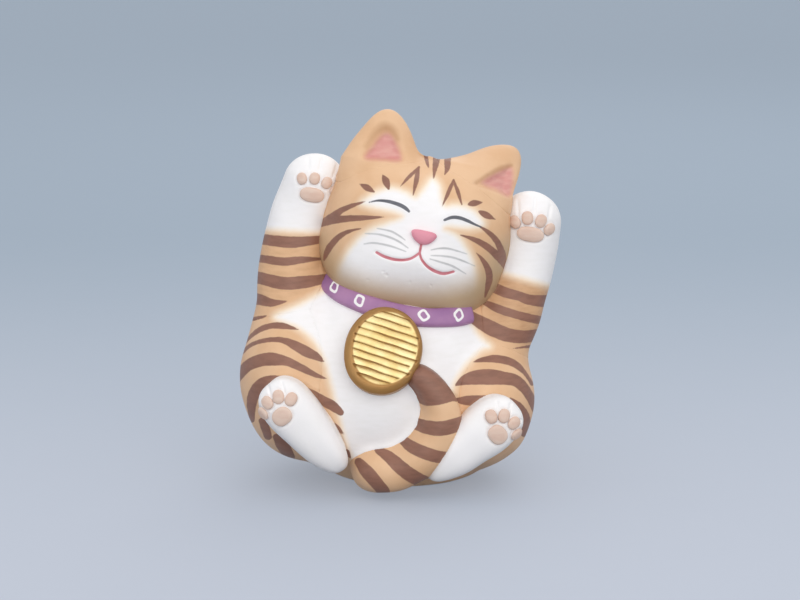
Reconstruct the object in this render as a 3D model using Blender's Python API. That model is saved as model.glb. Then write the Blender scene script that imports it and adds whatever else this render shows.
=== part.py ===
"""Seated pottery lucky cat with both front paws raised, in metres, +Z up, facing -Y.

Every piece is a separate clay form. Soft forms are shaped from spheres, limbs and tail are
swept along a line, and each piece is cut back to a small gap where it sits on its neighbour.
"""

from math import cos, exp, hypot, pi, radians, sin, sqrt

import bmesh
import bpy
from mathutils import Matrix, Vector
from mathutils.bvhtree import BVHTree

# Clearance left for the slip in every seam
GAP = 0.0003

# Pose of the figure
BODY_LEAN = radians(10.0)
BODY_RECLINE = radians(6.0)
LEG_LEAN = radians(5.0)
HEAD_LEAN = radians(12.0)
HEAD_RECLINE = radians(6.0)
HEAD_TURN = radians(3.5)

# Torso, measured from its widest girth
GIRTH_HEIGHT = 0.0250
TORSO_OFFSET_X = -0.0041
TORSO_OFFSET_Y = 0.0030
TORSO_WIDTH = 0.0720
TORSO_DEPTH = 0.0620
TORSO_RISE = 0.0420
TORSO_DROP = 0.0300
TORSO_SETTLE = 0.0058
VENT_DIAMETER = 0.0080
VENT_DEPTH = 0.0120
SPIGOT_DIAMETER = 0.0180
SPIGOT_HEIGHT = 0.0070

# Head
HEAD_WIDTH = 0.0542
HEAD_DEPTH = 0.0440
HEAD_HEIGHT = 0.0448
HEAD_SINK = 0.0204
HEAD_FORWARD = 0.0052
HEAD_SQUARENESS = 2.5
HEAD_CHIN = 0.0030
HEAD_JAW = 0.15
MUZZLE_RISE = 0.0014
MUZZLE_WIDTH = 0.0180
MUZZLE_HEIGHT = 0.0110
MUZZLE_DROP = 0.0040

# Ears
EAR_INSET_RIGHT = 0.0133
EAR_INSET_LEFT = 0.0136
EAR_SINK_RIGHT = 0.0023
EAR_SINK_LEFT = 0.0016
EAR_FORWARD = 0.0048
EAR_WIDTH_RIGHT = 0.0236
EAR_WIDTH_LEFT = 0.0225
EAR_DEPTH = 0.0115
EAR_LENGTH = 0.0155
EAR_ROOT = 0.6
EAR_TAPER = 0.62
EAR_SPLAY_RIGHT = radians(2.5)
EAR_SPLAY_LEFT = radians(11.0)
EAR_RECLINE_RIGHT = radians(8.0)
EAR_RECLINE_LEFT = radians(34.0)
EAR_SHEAR_RIGHT = 0.0
EAR_SHEAR_LEFT = 0.46
EAR_HOLLOW = 0.58
EAR_HOLLOW_DEPTH = 0.0022

# Nose
NOSE_WIDTH = 0.0068
NOSE_HEIGHT = 0.0040
NOSE_RISE = 0.0013
NOSE_SIDE = 0.0006
NOSE_LEVEL = 0.0028

# Raised arms
SHOULDER_INSET = 0.0064
SHOULDER_SHIFT = -0.0018
SHOULDER_LEVEL = 0.0200
ARM_ROOT_LEVEL = 0.0060
ARM_ROOT_INSET = 0.0075
ELBOW_SPREAD_RIGHT = 0.0017
ELBOW_SPREAD_LEFT = 0.0047
PAW_CLEAR_RIGHT = 0.0018
PAW_CLEAR_LEFT = 0.0045
ELBOW_DROP = 0.0020
ELBOW_FORWARD = 0.0034
SHOULDER_FORWARD = 0.0080
PAW_RISE = 0.0110
PAW_FORWARD = 0.0052
ARM_DIAMETER = 0.0200
PAW_DIAMETER = 0.0176

# Thighs and feet
THIGH_INSET = 0.0090
THIGH_SETBACK = 0.0226
THIGH_LIFT_RIGHT = 0.0041
THIGH_LIFT_LEFT = 0.0008
THIGH_WIDTH = 0.0312
THIGH_DEPTH = 0.0400
THIGH_HEIGHT_RIGHT = 0.0402
THIGH_HEIGHT_LEFT = 0.0388
FOOT_INSET = 0.0128
FOOT_SHIFT = 0.0012
FOOT_SETBACK = 0.0012
FOOT_DROP = 0.0058
FOOT_LENGTH = 0.0320
FOOT_WIDTH = 0.0138
FOOT_DEPTH = 0.0130
FOOT_SPLAY = radians(45.0)
FOOT_FLARE = 0.28
FOOT_SQUARENESS = 2.6

# Pads
PALM_WIDTH = 0.0080
PALM_HEIGHT = 0.0043
PALM_DROP = 0.0029
PALM_SHIFT_RIGHT = -0.0020
PALM_SHIFT_LEFT = 0.0006
SOLE_WIDTH = 0.0058
SOLE_HEIGHT = 0.0050
SOLE_SIDE = 0.0019
SOLE_ALONG = 0.0076
TOE_WIDTH = 0.0031
TOE_HEIGHT = 0.0039
TOE_REACH = 0.0054
PAW_TOE_REACH = 0.0060
PAW_TOE_RISE = 0.0046
TOE_FAN = radians(58.0)
PAW_FAN_TURN = {"right": radians(18.0), "left": radians(3.0)}
FOOT_FAN_TURN = {"right": radians(10.0), "left": radians(-12.0)}
TOE_COUNT = 4
PAD_RISE = 0.0011

# Tail, laid up the belly
TAIL_DIAMETER = 0.0118
TAIL_PROUD = 0.0028
TAIL_TAPER = (1.0, 1.0, 1.0, 1.0, 0.93, 0.72, 0.45)

# Collar band
COLLAR_BAND = 0.0052
COLLAR_THICKNESS = 0.0034
COLLAR_PROUD = 0.0002
COLLAR_RISE = 0.0121
COLLAR_CLEAR = 0.0006
COLLAR_TILT = 0.0096
COLLAR_TOP = 0.9

# Coin on the chest
COIN_WIDTH = 0.0220
COIN_HEIGHT = 0.0258
COIN_THICKNESS = 0.0056
COIN_EDGE = 0.0009
COIN_SIDE = -0.0038
COIN_LEVEL = 0.0137
COIN_SINK = 0.0010
GROOVE_COUNT = 11
GROOVE_DEPTH = 0.0007
GROOVE_SLANT = radians(5.0)

# Mesh fineness
FORM_SEGMENTS = 36
FORM_RINGS = 20
LIMB_SIDES_STEP = 4
SIDES = {"right": -1, "left": 1}


def clear_scene():
    """Empties the scene."""
    for obj in list(bpy.data.objects):
        bpy.data.objects.remove(obj, do_unlink=True)


def new_collection(name):
    """A collection linked to the scene."""
    collection = bpy.data.collections.new(name)
    bpy.context.scene.collection.children.link(collection)
    return collection


clear_scene()
PARTS = new_collection("lucky_cat")
CUTTERS = new_collection("cutters")


def clay(name, color, roughness, metallic=0.0):
    """A plain painted finish."""
    material = bpy.data.materials.new(name)
    material.use_nodes = True
    shader = material.node_tree.nodes["Principled BSDF"]
    shader.inputs["Base Color"].default_value = (*color, 1.0)
    shader.inputs["Roughness"].default_value = roughness
    shader.inputs["Metallic"].default_value = metallic
    material.diffuse_color = (*color, 1.0)
    return material


WHITE = (0.89, 0.88, 0.87)
ORANGE = (0.78, 0.53, 0.33)
PURPLE = (0.36, 0.20, 0.40)
GOLD = (0.72, 0.52, 0.24)
PAD = (0.76, 0.62, 0.52)
PINK = (0.76, 0.34, 0.39)


def tilted(lean, recline, turn=0.0):
    """Rotation that leans to +X, reclines to +Y and turns the front to +X."""
    leaning = Matrix.Rotation(lean, 4, "Y")
    reclining = Matrix.Rotation(-recline, 4, "X")
    turning = Matrix.Rotation(turn, 4, "Z")
    return leaning @ reclining @ turning


def moved(x, y, z):
    """Translation matrix."""
    return Matrix.Translation(Vector((x, y, z)))


HEAD_BOTTOM = TORSO_RISE - HEAD_SINK
HEAD_LEVEL = HEAD_BOTTOM + HEAD_HEIGHT / 2
PAW_LEVEL = HEAD_LEVEL + PAW_RISE
CENTRE = moved(TORSO_OFFSET_X, TORSO_OFFSET_Y, GIRTH_HEIGHT)
BODY = CENTRE @ tilted(BODY_LEAN, BODY_RECLINE)
LEGS = CENTRE @ tilted(LEG_LEAN, 0.0)
HEAD_CENTRE = BODY @ Vector((0.0, -HEAD_FORWARD, HEAD_LEVEL))
HEAD = Matrix.Translation(HEAD_CENTRE) @ tilted(HEAD_LEAN, HEAD_RECLINE, HEAD_TURN)


def finish_mesh(name, bm, collection, material=None):
    """Turns a bmesh into a named object with outward, smooth faces."""
    bmesh.ops.remove_doubles(bm, verts=bm.verts, dist=1e-6)
    bmesh.ops.recalc_face_normals(bm, faces=bm.faces)
    for face in bm.faces:
        face.smooth = True
    mesh = bpy.data.meshes.new(name)
    bm.to_mesh(mesh)
    bm.free()
    obj = bpy.data.objects.new(name, mesh)
    collection.objects.link(obj)
    if material is not None:
        mesh.materials.append(material)
    if collection == CUTTERS:
        obj.hide_render = True
        obj.display_type = "WIRE"
    return obj


def shaped(name, shape, frame, collection, material=None, segments=FORM_SEGMENTS, rings=FORM_RINGS):
    """A sphere whose points go through a shape function and then into a frame."""
    bm = bmesh.new()
    bmesh.ops.create_uvsphere(bm, u_segments=segments, v_segments=rings, radius=1.0)
    for vert in bm.verts:
        vert.co = frame @ shape(vert.co.normalized())
    return finish_mesh(name, bm, collection, material)


def rounded(half, power):
    """Shape function of a rounded box: power 2 is an ellipsoid, more is squarer."""

    def shape(v):
        total = abs(v.x) ** power + abs(v.y) ** power + abs(v.z) ** power
        scale = total ** (-1.0 / power)
        return Vector((v.x * half[0], v.y * half[1], v.z * half[2])) * scale

    return shape


def torso_shape():
    """Egg with its widest girth at zero, taller above than below, its bottom settled sideways."""

    def shape(v):
        height = TORSO_RISE if v.z > 0 else TORSO_DROP
        settle = TORSO_SETTLE * min(v.z, 0.0) ** 2
        return Vector((TORSO_WIDTH / 2 * v.x + settle, TORSO_DEPTH / 2 * v.y, height * v.z))

    return shape


def head_shape():
    """Rounded box with a deeper lower half and a low muzzle on its front."""
    base = rounded((HEAD_WIDTH / 2, HEAD_DEPTH / 2, HEAD_HEIGHT / 2), HEAD_SQUARENESS)

    def shape(v):
        point = base(v)
        if point.z < 0:
            point.x *= 1 - HEAD_JAW * (2 * point.z / HEAD_HEIGHT) ** 2
            point.z *= 1 + 2 * HEAD_CHIN / HEAD_HEIGHT
        if point.y < 0:
            across = (point.x / MUZZLE_WIDTH * 2) ** 2
            along = ((point.z + MUZZLE_DROP) / MUZZLE_HEIGHT * 2) ** 2
            point.y -= MUZZLE_RISE * exp(-across - along)
        return point

    return shape


def ear_shape(width, depth, length, shear):
    """Round-tipped wedge, base at zero, with a tip drawn sideways and a root that runs down into the head."""

    def shape(v):
        level = (1.0 + EAR_ROOT) * (1.0 + v.z) / 2 - EAR_ROOT
        taper = 1.0 - EAR_TAPER * max(level, 0.0)
        end = 1.0 if level > 0 else EAR_ROOT
        close = sqrt(max(0.0, 1.0 - (level / end) ** 6))
        around = max(hypot(v.x, v.y), 1e-9)
        return Vector((
            width / 2 * taper * close * v.x / around + shear * length * max(level, 0.0),
            depth / 2 * taper * close * v.y / around,
            length * level,
        ))

    return shape


def spline_point(points, u):
    """Point at 0..1 along a smooth curve through all the given points."""
    last = len(points) - 1
    at = min(int(u * last), last - 1)
    t = u * last - at
    a = points[max(at - 1, 0)]
    b = points[at]
    c = points[at + 1]
    d = points[min(at + 2, last)]
    return 0.5 * (
        2 * b + (c - a) * t + (2 * a - 5 * b + 4 * c - d) * t * t + (3 * b - a - 3 * c + d) * t**3
    )


def limb(name, points, radii, frame, collection, material=None, steps=12, caps=4):
    """A round limb swept along a smooth line, with half-round ends."""
    points = [Vector(p) for p in points]
    fine = [spline_point(points, i / 200) for i in range(201)]
    lengths = [0.0]
    for a, b in zip(fine, fine[1:]):
        lengths.append(lengths[-1] + (b - a).length)
    total = lengths[-1]
    stations = []
    for i in range(caps):
        angle = pi / 2 * (i + 0.25) / caps
        stations.append((radii[0] * (1 - cos(angle)), sin(angle)))
    first = radii[0]
    final = total - radii[-1]
    for i in range(steps + 1):
        stations.append((first + (final - first) * i / steps, 1.0))
    for i in range(caps):
        angle = pi / 2 * (1 - (i + 0.75) / caps)
        stations.append((total - radii[-1] * (1 - cos(angle)), sin(angle)))
    curve = bpy.data.curves.new(name + "_line", "CURVE")
    curve.dimensions = "3D"
    curve.bevel_depth = 1.0
    curve.bevel_resolution = LIMB_SIDES_STEP
    curve.use_fill_caps = True
    spline = curve.splines.new("POLY")
    spline.points.add(len(stations) - 1)
    at = 0
    for target, (distance, share) in zip(spline.points, stations):
        while at < 199 and lengths[at + 1] < distance:
            at += 1
        span = max(lengths[at + 1] - lengths[at], 1e-9)
        place = fine[at].lerp(fine[at + 1], (distance - lengths[at]) / span)
        u = distance / total * (len(radii) - 1)
        low = min(int(u), len(radii) - 2)
        radius = radii[low] + (radii[low + 1] - radii[low]) * (u - low)
        target.co = (*(frame @ place), 1.0)
        target.radius = radius * share
    line = bpy.data.objects.new(name + "_line", curve)
    bm = bmesh.new()
    bpy.context.scene.collection.objects.link(line)
    mesh = bpy.data.meshes.new_from_object(line)
    bm.from_mesh(mesh)
    bpy.data.objects.remove(line, do_unlink=True)
    bpy.data.meshes.remove(mesh)
    return finish_mesh(name, bm, collection, material)


def rod(name, radius, start, end, collection):
    """Straight round bar between two points."""
    start = Vector(start)
    axis = Vector(end) - start
    turn = axis.to_track_quat("Z", "Y").to_matrix().to_4x4()
    frame = Matrix.Translation(start + axis / 2) @ turn
    bm = bmesh.new()
    bmesh.ops.create_cone(
        bm, cap_ends=True, segments=32, radius1=radius, radius2=radius, depth=axis.length, matrix=frame
    )
    return finish_mesh(name, bm, collection)


def flatten_bottom(obj, height):
    """Cuts away all that is below a level and closes the cut."""
    bm = bmesh.new()
    bm.from_mesh(obj.data)
    everything = bm.verts[:] + bm.edges[:] + bm.faces[:]
    bmesh.ops.bisect_plane(
        bm, geom=everything, plane_co=(0, 0, height), plane_no=(0, 0, -1), clear_outer=True
    )
    rim = [edge for edge in bm.edges if edge.is_boundary]
    bmesh.ops.contextual_create(bm, geom=rim)
    bmesh.ops.recalc_face_normals(bm, faces=bm.faces)
    bm.to_mesh(obj.data)
    bm.free()


def swollen(obj, amount):
    """A hidden copy grown outwards, to cut a neighbour back."""
    copy = bpy.data.objects.new(obj.name + "_cutter", obj.data)
    CUTTERS.objects.link(copy)
    copy.hide_render = True
    copy.display_type = "WIRE"
    grow = copy.modifiers.new("grow", "DISPLACE")
    grow.strength = amount
    grow.mid_level = 0.0
    return copy


def combine(obj, other, operation="DIFFERENCE"):
    """Exact Boolean of one object with another."""
    modifier = obj.modifiers.new(operation.lower() + "_" + other.name, "BOOLEAN")
    modifier.operation = operation
    modifier.solver = "EXACT"
    modifier.object = other


def facing(normal, up):
    """Rotation whose +Y runs into a surface and whose +Z keeps close to an up direction."""
    inward = -normal.normalized()
    across = inward.cross(up).normalized()
    upward = across.cross(inward)
    return Matrix((across, inward, upward)).transposed().to_4x4()


def seat_on(obj, frame, x, z):
    """Point and outward normal where a line along the frame's +Y first meets an object."""
    bm = bmesh.new()
    bm.from_mesh(obj.data)
    tree = BVHTree.FromBMesh(bm)
    direction = frame.to_3x3() @ Vector((0, 1, 0))
    place = None
    share = 1.0
    while place is None:
        place, normal, _, _ = tree.ray_cast(frame @ Vector((x * share, -0.2, z * share)), direction)
        share *= 0.95
    bm.free()
    return place, normal


white = clay("white_slip", WHITE, 0.5)
orange = clay("orange_slip", ORANGE, 0.55)


# Solid outer forms that the pieces are cut with
torso_form = shaped("torso_form", torso_shape(), BODY, CUTTERS)
head_form = shaped("head_form", head_shape(), HEAD, CUTTERS)
torso_cut = swollen(torso_form, GAP)
head_cut = swollen(head_form, GAP)

# Body with a flat base, a firing vent, and a spigot standing in the dished seat of the head
UP = BODY.to_3x3() @ Vector((0, 0, 1))
NECK_BASE = BODY @ Vector((0.0, -HEAD_FORWARD, HEAD_LEVEL - HEAD_HEIGHT / 2))
BASE_CENTRE = Vector((TORSO_OFFSET_X, TORSO_OFFSET_Y, 0.0))
body = shaped("body", torso_shape(), BODY, PARTS, white)
flatten_bottom(body, 0.0)
spigot_top = NECK_BASE + UP * SPIGOT_HEIGHT
spigot = rod("neck_spigot", SPIGOT_DIAMETER / 2, NECK_BASE - UP * SPIGOT_HEIGHT, spigot_top, CUTTERS)
vent_top = BASE_CENTRE + Vector((0, 0, VENT_DEPTH))
vent = rod("vent", VENT_DIAMETER / 2, BASE_CENTRE - Vector((0, 0, VENT_DEPTH)), vent_top, CUTTERS)
combine(body, head_cut)
combine(body, spigot, "UNION")
combine(body, vent)

# Head with a blind socket that drops over the spigot
head = shaped("head", head_shape(), HEAD, PARTS, orange)
socket = rod(
    "neck_socket", SPIGOT_DIAMETER / 2 + GAP, NECK_BASE - UP * SPIGOT_HEIGHT, spigot_top + UP * GAP, CUTTERS
)
combine(head, socket)

# Collar band that follows the torso under the head
COLLAR_STEPS = 44
COLLAR_SECTION = 8


def torso_point(angle, level):
    """Point of the torso's surface at an angle from its front, in the body frame."""
    girth = sqrt(1 - (level / TORSO_RISE) ** 2)
    return Vector((TORSO_WIDTH / 2 * girth * sin(angle), -TORSO_DEPTH / 2 * girth * cos(angle), level))


def in_head(point):
    """Whether a point of the body frame is inside the head's rounded box."""
    local = HEAD.inverted() @ BODY @ point
    height = HEAD_HEIGHT if local.z > 0 else HEAD_HEIGHT + 2 * HEAD_CHIN
    jaw = 1 - HEAD_JAW * (2 * min(local.z, 0.0) / height) ** 2
    shares = (2 * local.x / HEAD_WIDTH / jaw, 2 * local.y / HEAD_DEPTH, 2 * local.z / height)
    return sum(abs(share) ** HEAD_SQUARENESS for share in shares) < 1


def collar_ring(angle):
    """Point on the torso and the outward and upward directions there, in the body frame."""
    level = HEAD_BOTTOM + COLLAR_RISE - COLLAR_TILT * cos(angle)
    level = min(level, COLLAR_TOP * TORSO_RISE)
    step = COLLAR_CLEAR / 20
    while in_head(torso_point(angle, level + COLLAR_CLEAR)):
        level -= step
    place = torso_point(angle, level)
    outward = Vector((
        place.x / (TORSO_WIDTH / 2) ** 2,
        place.y / (TORSO_DEPTH / 2) ** 2,
        place.z / TORSO_RISE**2,
    )).normalized()
    along = Vector((0, 0, 1)).cross(outward).normalized()
    return place, outward, outward.cross(along).normalized()


def collar_band(name, collection, material=None, swell=0.0):
    """Closed loop of a soft flat section."""
    bm = bmesh.new()
    rows = []
    for i in range(COLLAR_STEPS):
        place, outward, upward = collar_ring(2 * pi * i / COLLAR_STEPS)
        row = []
        for j in range(COLLAR_SECTION):
            turn = 2 * pi * (j + 0.5) / COLLAR_SECTION
            across = cos(turn)
            depth = sin(turn)
            scale = (across**4 + depth**4) ** -0.25
            offset = outward * (COLLAR_PROUD + depth * scale * (COLLAR_THICKNESS / 2 + swell))
            offset += upward * across * scale * (COLLAR_BAND / 2 + swell)
            row.append(bm.verts.new(BODY @ (place + offset)))
        rows.append(row)
    for i in range(COLLAR_STEPS):
        row = rows[i]
        following = rows[(i + 1) % COLLAR_STEPS]
        for j in range(COLLAR_SECTION):
            k = (j + 1) % COLLAR_SECTION
            bm.faces.new((row[j], row[k], following[k], following[j]))
    return finish_mesh(name, bm, collection, material)


collar = collar_band("collar", PARTS, clay("collar_purple", PURPLE, 0.5))
collar_cut = collar_band("collar_cut", CUTTERS, None, GAP)
combine(collar, torso_cut)
combine(collar, head_cut)

# Limbs, one pair of each
paws = {}
feet = {}
FOOT_RISE = FOOT_LENGTH / 2
for side, sign in SIDES.items():
    spread = TORSO_WIDTH / 2 - SHOULDER_INSET
    elbow_spread = ELBOW_SPREAD_LEFT if sign > 0 else ELBOW_SPREAD_RIGHT
    paw_clear = PAW_CLEAR_LEFT if sign > 0 else PAW_CLEAR_RIGHT
    arm_line = [
        (sign * (spread - ARM_ROOT_INSET) + SHOULDER_SHIFT, -SHOULDER_FORWARD, ARM_ROOT_LEVEL),
        (sign * spread + SHOULDER_SHIFT, -SHOULDER_FORWARD, SHOULDER_LEVEL),
        (sign * (spread + elbow_spread) + SHOULDER_SHIFT, -ELBOW_FORWARD, HEAD_LEVEL - ELBOW_DROP),
        (sign * (HEAD_WIDTH / 2 + paw_clear), -PAW_FORWARD, PAW_LEVEL + PAW_DIAMETER / 2),
    ]
    arm_radii = [ARM_DIAMETER / 2, ARM_DIAMETER / 2, (ARM_DIAMETER + PAW_DIAMETER) / 4, PAW_DIAMETER / 2]
    arm = limb(side + "_arm", arm_line, arm_radii, BODY, PARTS, clay(side + "_arm_slip", ORANGE, 0.55))
    arm_cut = swollen(arm, GAP)
    thigh_height = THIGH_HEIGHT_LEFT if sign > 0 else THIGH_HEIGHT_RIGHT
    thigh_half = (THIGH_WIDTH / 2, THIGH_DEPTH / 2, thigh_height / 2)
    thigh_x = sign * (TORSO_WIDTH / 2 - THIGH_INSET)
    thigh_lift = THIGH_LIFT_LEFT if sign > 0 else THIGH_LIFT_RIGHT
    thigh_frame = LEGS @ moved(thigh_x, THIGH_SETBACK - TORSO_DEPTH / 2, thigh_lift)
    thigh_slip = clay(side + "_thigh_slip", ORANGE, 0.55)
    thigh = shaped(side + "_thigh", rounded(thigh_half, 2.0), thigh_frame, PARTS, thigh_slip, 24, 14)
    thigh_cut = swollen(thigh, GAP)
    foot_x = sign * (TORSO_WIDTH / 2 - FOOT_INSET) + FOOT_SHIFT
    foot_frame = LEGS @ moved(foot_x, FOOT_SETBACK - TORSO_DEPTH / 2, -FOOT_DROP)
    foot_frame = foot_frame @ Matrix.Rotation(sign * FOOT_SPLAY, 4, "Y")
    foot_box = rounded((FOOT_WIDTH / 2, FOOT_DEPTH / 2, FOOT_LENGTH / 2), FOOT_SQUARENESS)

    def foot_shape(v):
        point = foot_box(v)
        point.x *= 1 + FOOT_FLARE * point.z / FOOT_RISE
        return point

    foot_slip = clay(side + "_foot_slip", WHITE, 0.5)
    foot = shaped(side + "_foot", foot_shape, foot_frame, PARTS, foot_slip, 22, 14)
    combine(thigh, torso_cut)
    combine(arm, torso_cut)
    combine(arm, head_cut)
    combine(arm, collar_cut)
    combine(arm, thigh_cut)
    combine(foot, torso_cut)
    combine(foot, thigh_cut)
    paws[side] = (arm, arm_cut, arm_line)
    feet[side] = (foot, swollen(foot, GAP), foot_frame, thigh_cut)

# Ears with a scooped hollow
for side, sign in SIDES.items():
    splay = EAR_SPLAY_LEFT if sign > 0 else EAR_SPLAY_RIGHT
    recline = EAR_RECLINE_LEFT if sign > 0 else EAR_RECLINE_RIGHT
    shear = sign * (EAR_SHEAR_LEFT if sign > 0 else EAR_SHEAR_RIGHT)
    turn = Matrix.Rotation(sign * splay, 4, "Y") @ Matrix.Rotation(-recline, 4, "X")
    ear_width = EAR_WIDTH_LEFT if sign > 0 else EAR_WIDTH_RIGHT
    ear_x = HEAD_WIDTH / 2 - (EAR_INSET_LEFT if sign > 0 else EAR_INSET_RIGHT)
    ear_z = HEAD_HEIGHT / 2 - (EAR_SINK_LEFT if sign > 0 else EAR_SINK_RIGHT)
    ear_frame = HEAD @ moved(sign * ear_x, -EAR_FORWARD, ear_z) @ turn
    ear = shaped(
        side + "_ear", ear_shape(ear_width, EAR_DEPTH, EAR_LENGTH, shear), ear_frame, PARTS,
        clay(side + "_ear_slip", ORANGE, 0.55), 20, 14,
    )
    scoop_frame = ear_frame @ moved(0.0, -EAR_DEPTH / 2, EAR_LENGTH * 0.14)
    scoop_shape = ear_shape(ear_width * EAR_HOLLOW, 2 * EAR_HOLLOW_DEPTH, EAR_LENGTH * EAR_HOLLOW, shear)
    scoop = shaped(side + "_ear_hollow", scoop_shape, scoop_frame, CUTTERS, None, 16, 10)
    combine(ear, head_cut)
    combine(ear, paws[side][1])
    combine(ear, scoop)

# Nose
place, normal = seat_on(head_form, HEAD, NOSE_SIDE, NOSE_LEVEL)
nose_frame = Matrix.Translation(place) @ facing(normal, HEAD.to_3x3() @ Vector((0, 0, 1)))
nose_half = (NOSE_WIDTH / 2, NOSE_RISE, NOSE_HEIGHT / 2)
nose = shaped("nose", rounded(nose_half, 2.2), nose_frame, PARTS, clay("nose_pink", PINK, 0.45), 14, 8)
combine(nose, head_cut)

# Coin with slanting grooves
place, normal = seat_on(torso_form, BODY, COIN_SIDE, COIN_LEVEL)
coin_frame = Matrix.Translation(place) @ facing(normal, UP)
coin_middle = coin_frame @ moved(0.0, COIN_SINK - COIN_THICKNESS / 2, 0.0)
coin_oval = Matrix.Diagonal((COIN_WIDTH / 2, COIN_HEIGHT / 2, 1, 1))
coin_blank = coin_middle @ Matrix.Rotation(pi / 2, 4, "X") @ coin_oval


def coin_disc(name, collection, material=None, swell=0.0):
    """Oval disc with softened edges."""
    bm = bmesh.new()
    grown = 1 + swell / COIN_WIDTH * 2
    deep = COIN_THICKNESS + 2 * swell
    bmesh.ops.create_cone(
        bm, cap_ends=True, segments=40, radius1=grown, radius2=grown, depth=deep, matrix=coin_blank
    )
    rim = [edge for edge in bm.edges if any(len(face.verts) > 4 for face in edge.link_faces)]
    bmesh.ops.bevel(bm, geom=rim, offset=COIN_EDGE, segments=2, profile=0.6, affect="EDGES")
    return finish_mesh(name, bm, collection, material)


coin = coin_disc("koban", PARTS, clay("koban_gold", GOLD, 0.4, 0.5))
coin_cut = coin_disc("koban_cut", CUTTERS, None, GAP)
bm = bmesh.new()
face_plane = coin_middle @ moved(0.0, -COIN_THICKNESS / 2, 0.0) @ Matrix.Rotation(GROOVE_SLANT, 4, "Y")
for i in range(GROOVE_COUNT):
    level = COIN_HEIGHT * ((i + 1) / (GROOVE_COUNT + 1) - 0.5)
    share = sqrt(1 - (2 * level / COIN_HEIGHT) ** 2)
    length = COIN_WIDTH * share - 4 * COIN_EDGE
    slot = face_plane @ moved(0.0, 0.0, level) @ Matrix.Rotation(pi / 4, 4, "X")
    size = Matrix.Diagonal((length, GROOVE_DEPTH * 1.414, GROOVE_DEPTH * 1.414, 1))
    bmesh.ops.create_cube(bm, size=1.0, matrix=slot @ size)
grooves = finish_mesh("koban_grooves", bm, CUTTERS)
combine(coin, grooves)
combine(coin, torso_cut)
combine(coin, collar_cut)

# Tail laid from under the body up the belly to the coin
TAIL_LINE = [
    (0.0010, -0.0184),
    (0.0062, -0.0164),
    (0.0114, -0.0120),
    (0.0143, -0.0060),
    (0.0138, 0.0010),
    (0.0100, 0.0065),
    (0.0045, 0.0100),
]
tail_points = []
for x, z in TAIL_LINE:
    place, normal = seat_on(torso_form, BODY, x, z)
    tail_points.append(place + normal * TAIL_PROUD)
tail_inward = BODY.to_3x3() @ Vector((0.0, 0.7 * TAIL_DIAMETER, 0.0))
tail_points.insert(0, 1.6 * tail_points[0] - 0.6 * tail_points[1] + tail_inward)
tail_radii = [TAIL_DIAMETER / 2 * share for share in TAIL_TAPER]
tail = limb("tail", tail_points, tail_radii, Matrix.Identity(4), PARTS, clay("tail_slip", ORANGE, 0.55), 18)
combine(tail, torso_cut)
combine(tail, coin_cut)
for side in SIDES:
    combine(tail, feet[side][1])
    combine(tail, feet[side][3])

# Pads of the front paws and the hind feet


def pads(prefix, main, carrier, cutter, frame, spot, sign, fan_turn, reach):
    """One large pad with a fan of toe pads above it, seated on a paw clear of the head."""
    x, z, width, height = spot
    spots = [(prefix + "_" + main, x, z, width, height, 0.0)]
    for i in range(TOE_COUNT):
        angle = fan_turn + sign * TOE_FAN * (2 * i / (TOE_COUNT - 1) - 1)
        spots.append((
            prefix + "_toe_" + str(i + 1), x + reach[0] * sin(angle), z + reach[1] * cos(angle),
            TOE_WIDTH, TOE_HEIGHT, angle,
        ))
    for name, side_at, level, wide, tall, turn in spots:
        point, outward = seat_on(carrier, frame, side_at, level)
        up = frame.to_3x3() @ Vector((sin(turn), 0, cos(turn)))
        seat = Matrix.Translation(point) @ facing(outward, up)
        half = (wide / 2, PAD_RISE, tall / 2)
        pad = shaped(name, rounded(half, 2.2), seat, PARTS, clay(name + "_slip", PAD, 0.5), 12, 6)
        combine(pad, cutter)
        if prefix.endswith("paw"):
            combine(pad, head_cut)


for side, sign in SIDES.items():
    arm, arm_cut, arm_line = paws[side]
    paw_frame = BODY @ moved(arm_line[-1][0], 0.0, PAW_LEVEL)
    palm_shift = PALM_SHIFT_LEFT if sign > 0 else PALM_SHIFT_RIGHT
    palm = (palm_shift, -PALM_DROP, PALM_WIDTH, PALM_HEIGHT)
    paw_reach = (PAW_TOE_REACH, PAW_TOE_RISE)
    pads(side + "_paw", "palm", arm, arm_cut, paw_frame, palm, sign, PAW_FAN_TURN[side], paw_reach)
    foot, foot_cut, foot_frame, _ = feet[side]
    sole = (sign * SOLE_SIDE, SOLE_ALONG, SOLE_WIDTH, SOLE_HEIGHT)
    foot_reach = (TOE_REACH, TOE_REACH)
    pads(side + "_foot", "sole", foot, foot_cut, foot_frame, sole, sign, FOOT_FAN_TURN[side], foot_reach)
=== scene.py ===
"""Looks of a hand-painted pottery lucky cat, in metres, +Z up, facing -Y.

Every piece is a closed surface worked out on a grid of two parameters. Where two pieces were luted
together the surfaces are drawn towards each other. Paint is stored on the points as the distance,
in millimetres, inside the edge of each brush mark, and the finishes turn it into colour.
"""

import logging
import math
from dataclasses import dataclass, field
from enum import Enum
from typing import Protocol

import bpy
import numpy as np
from mathutils import Matrix


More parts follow.
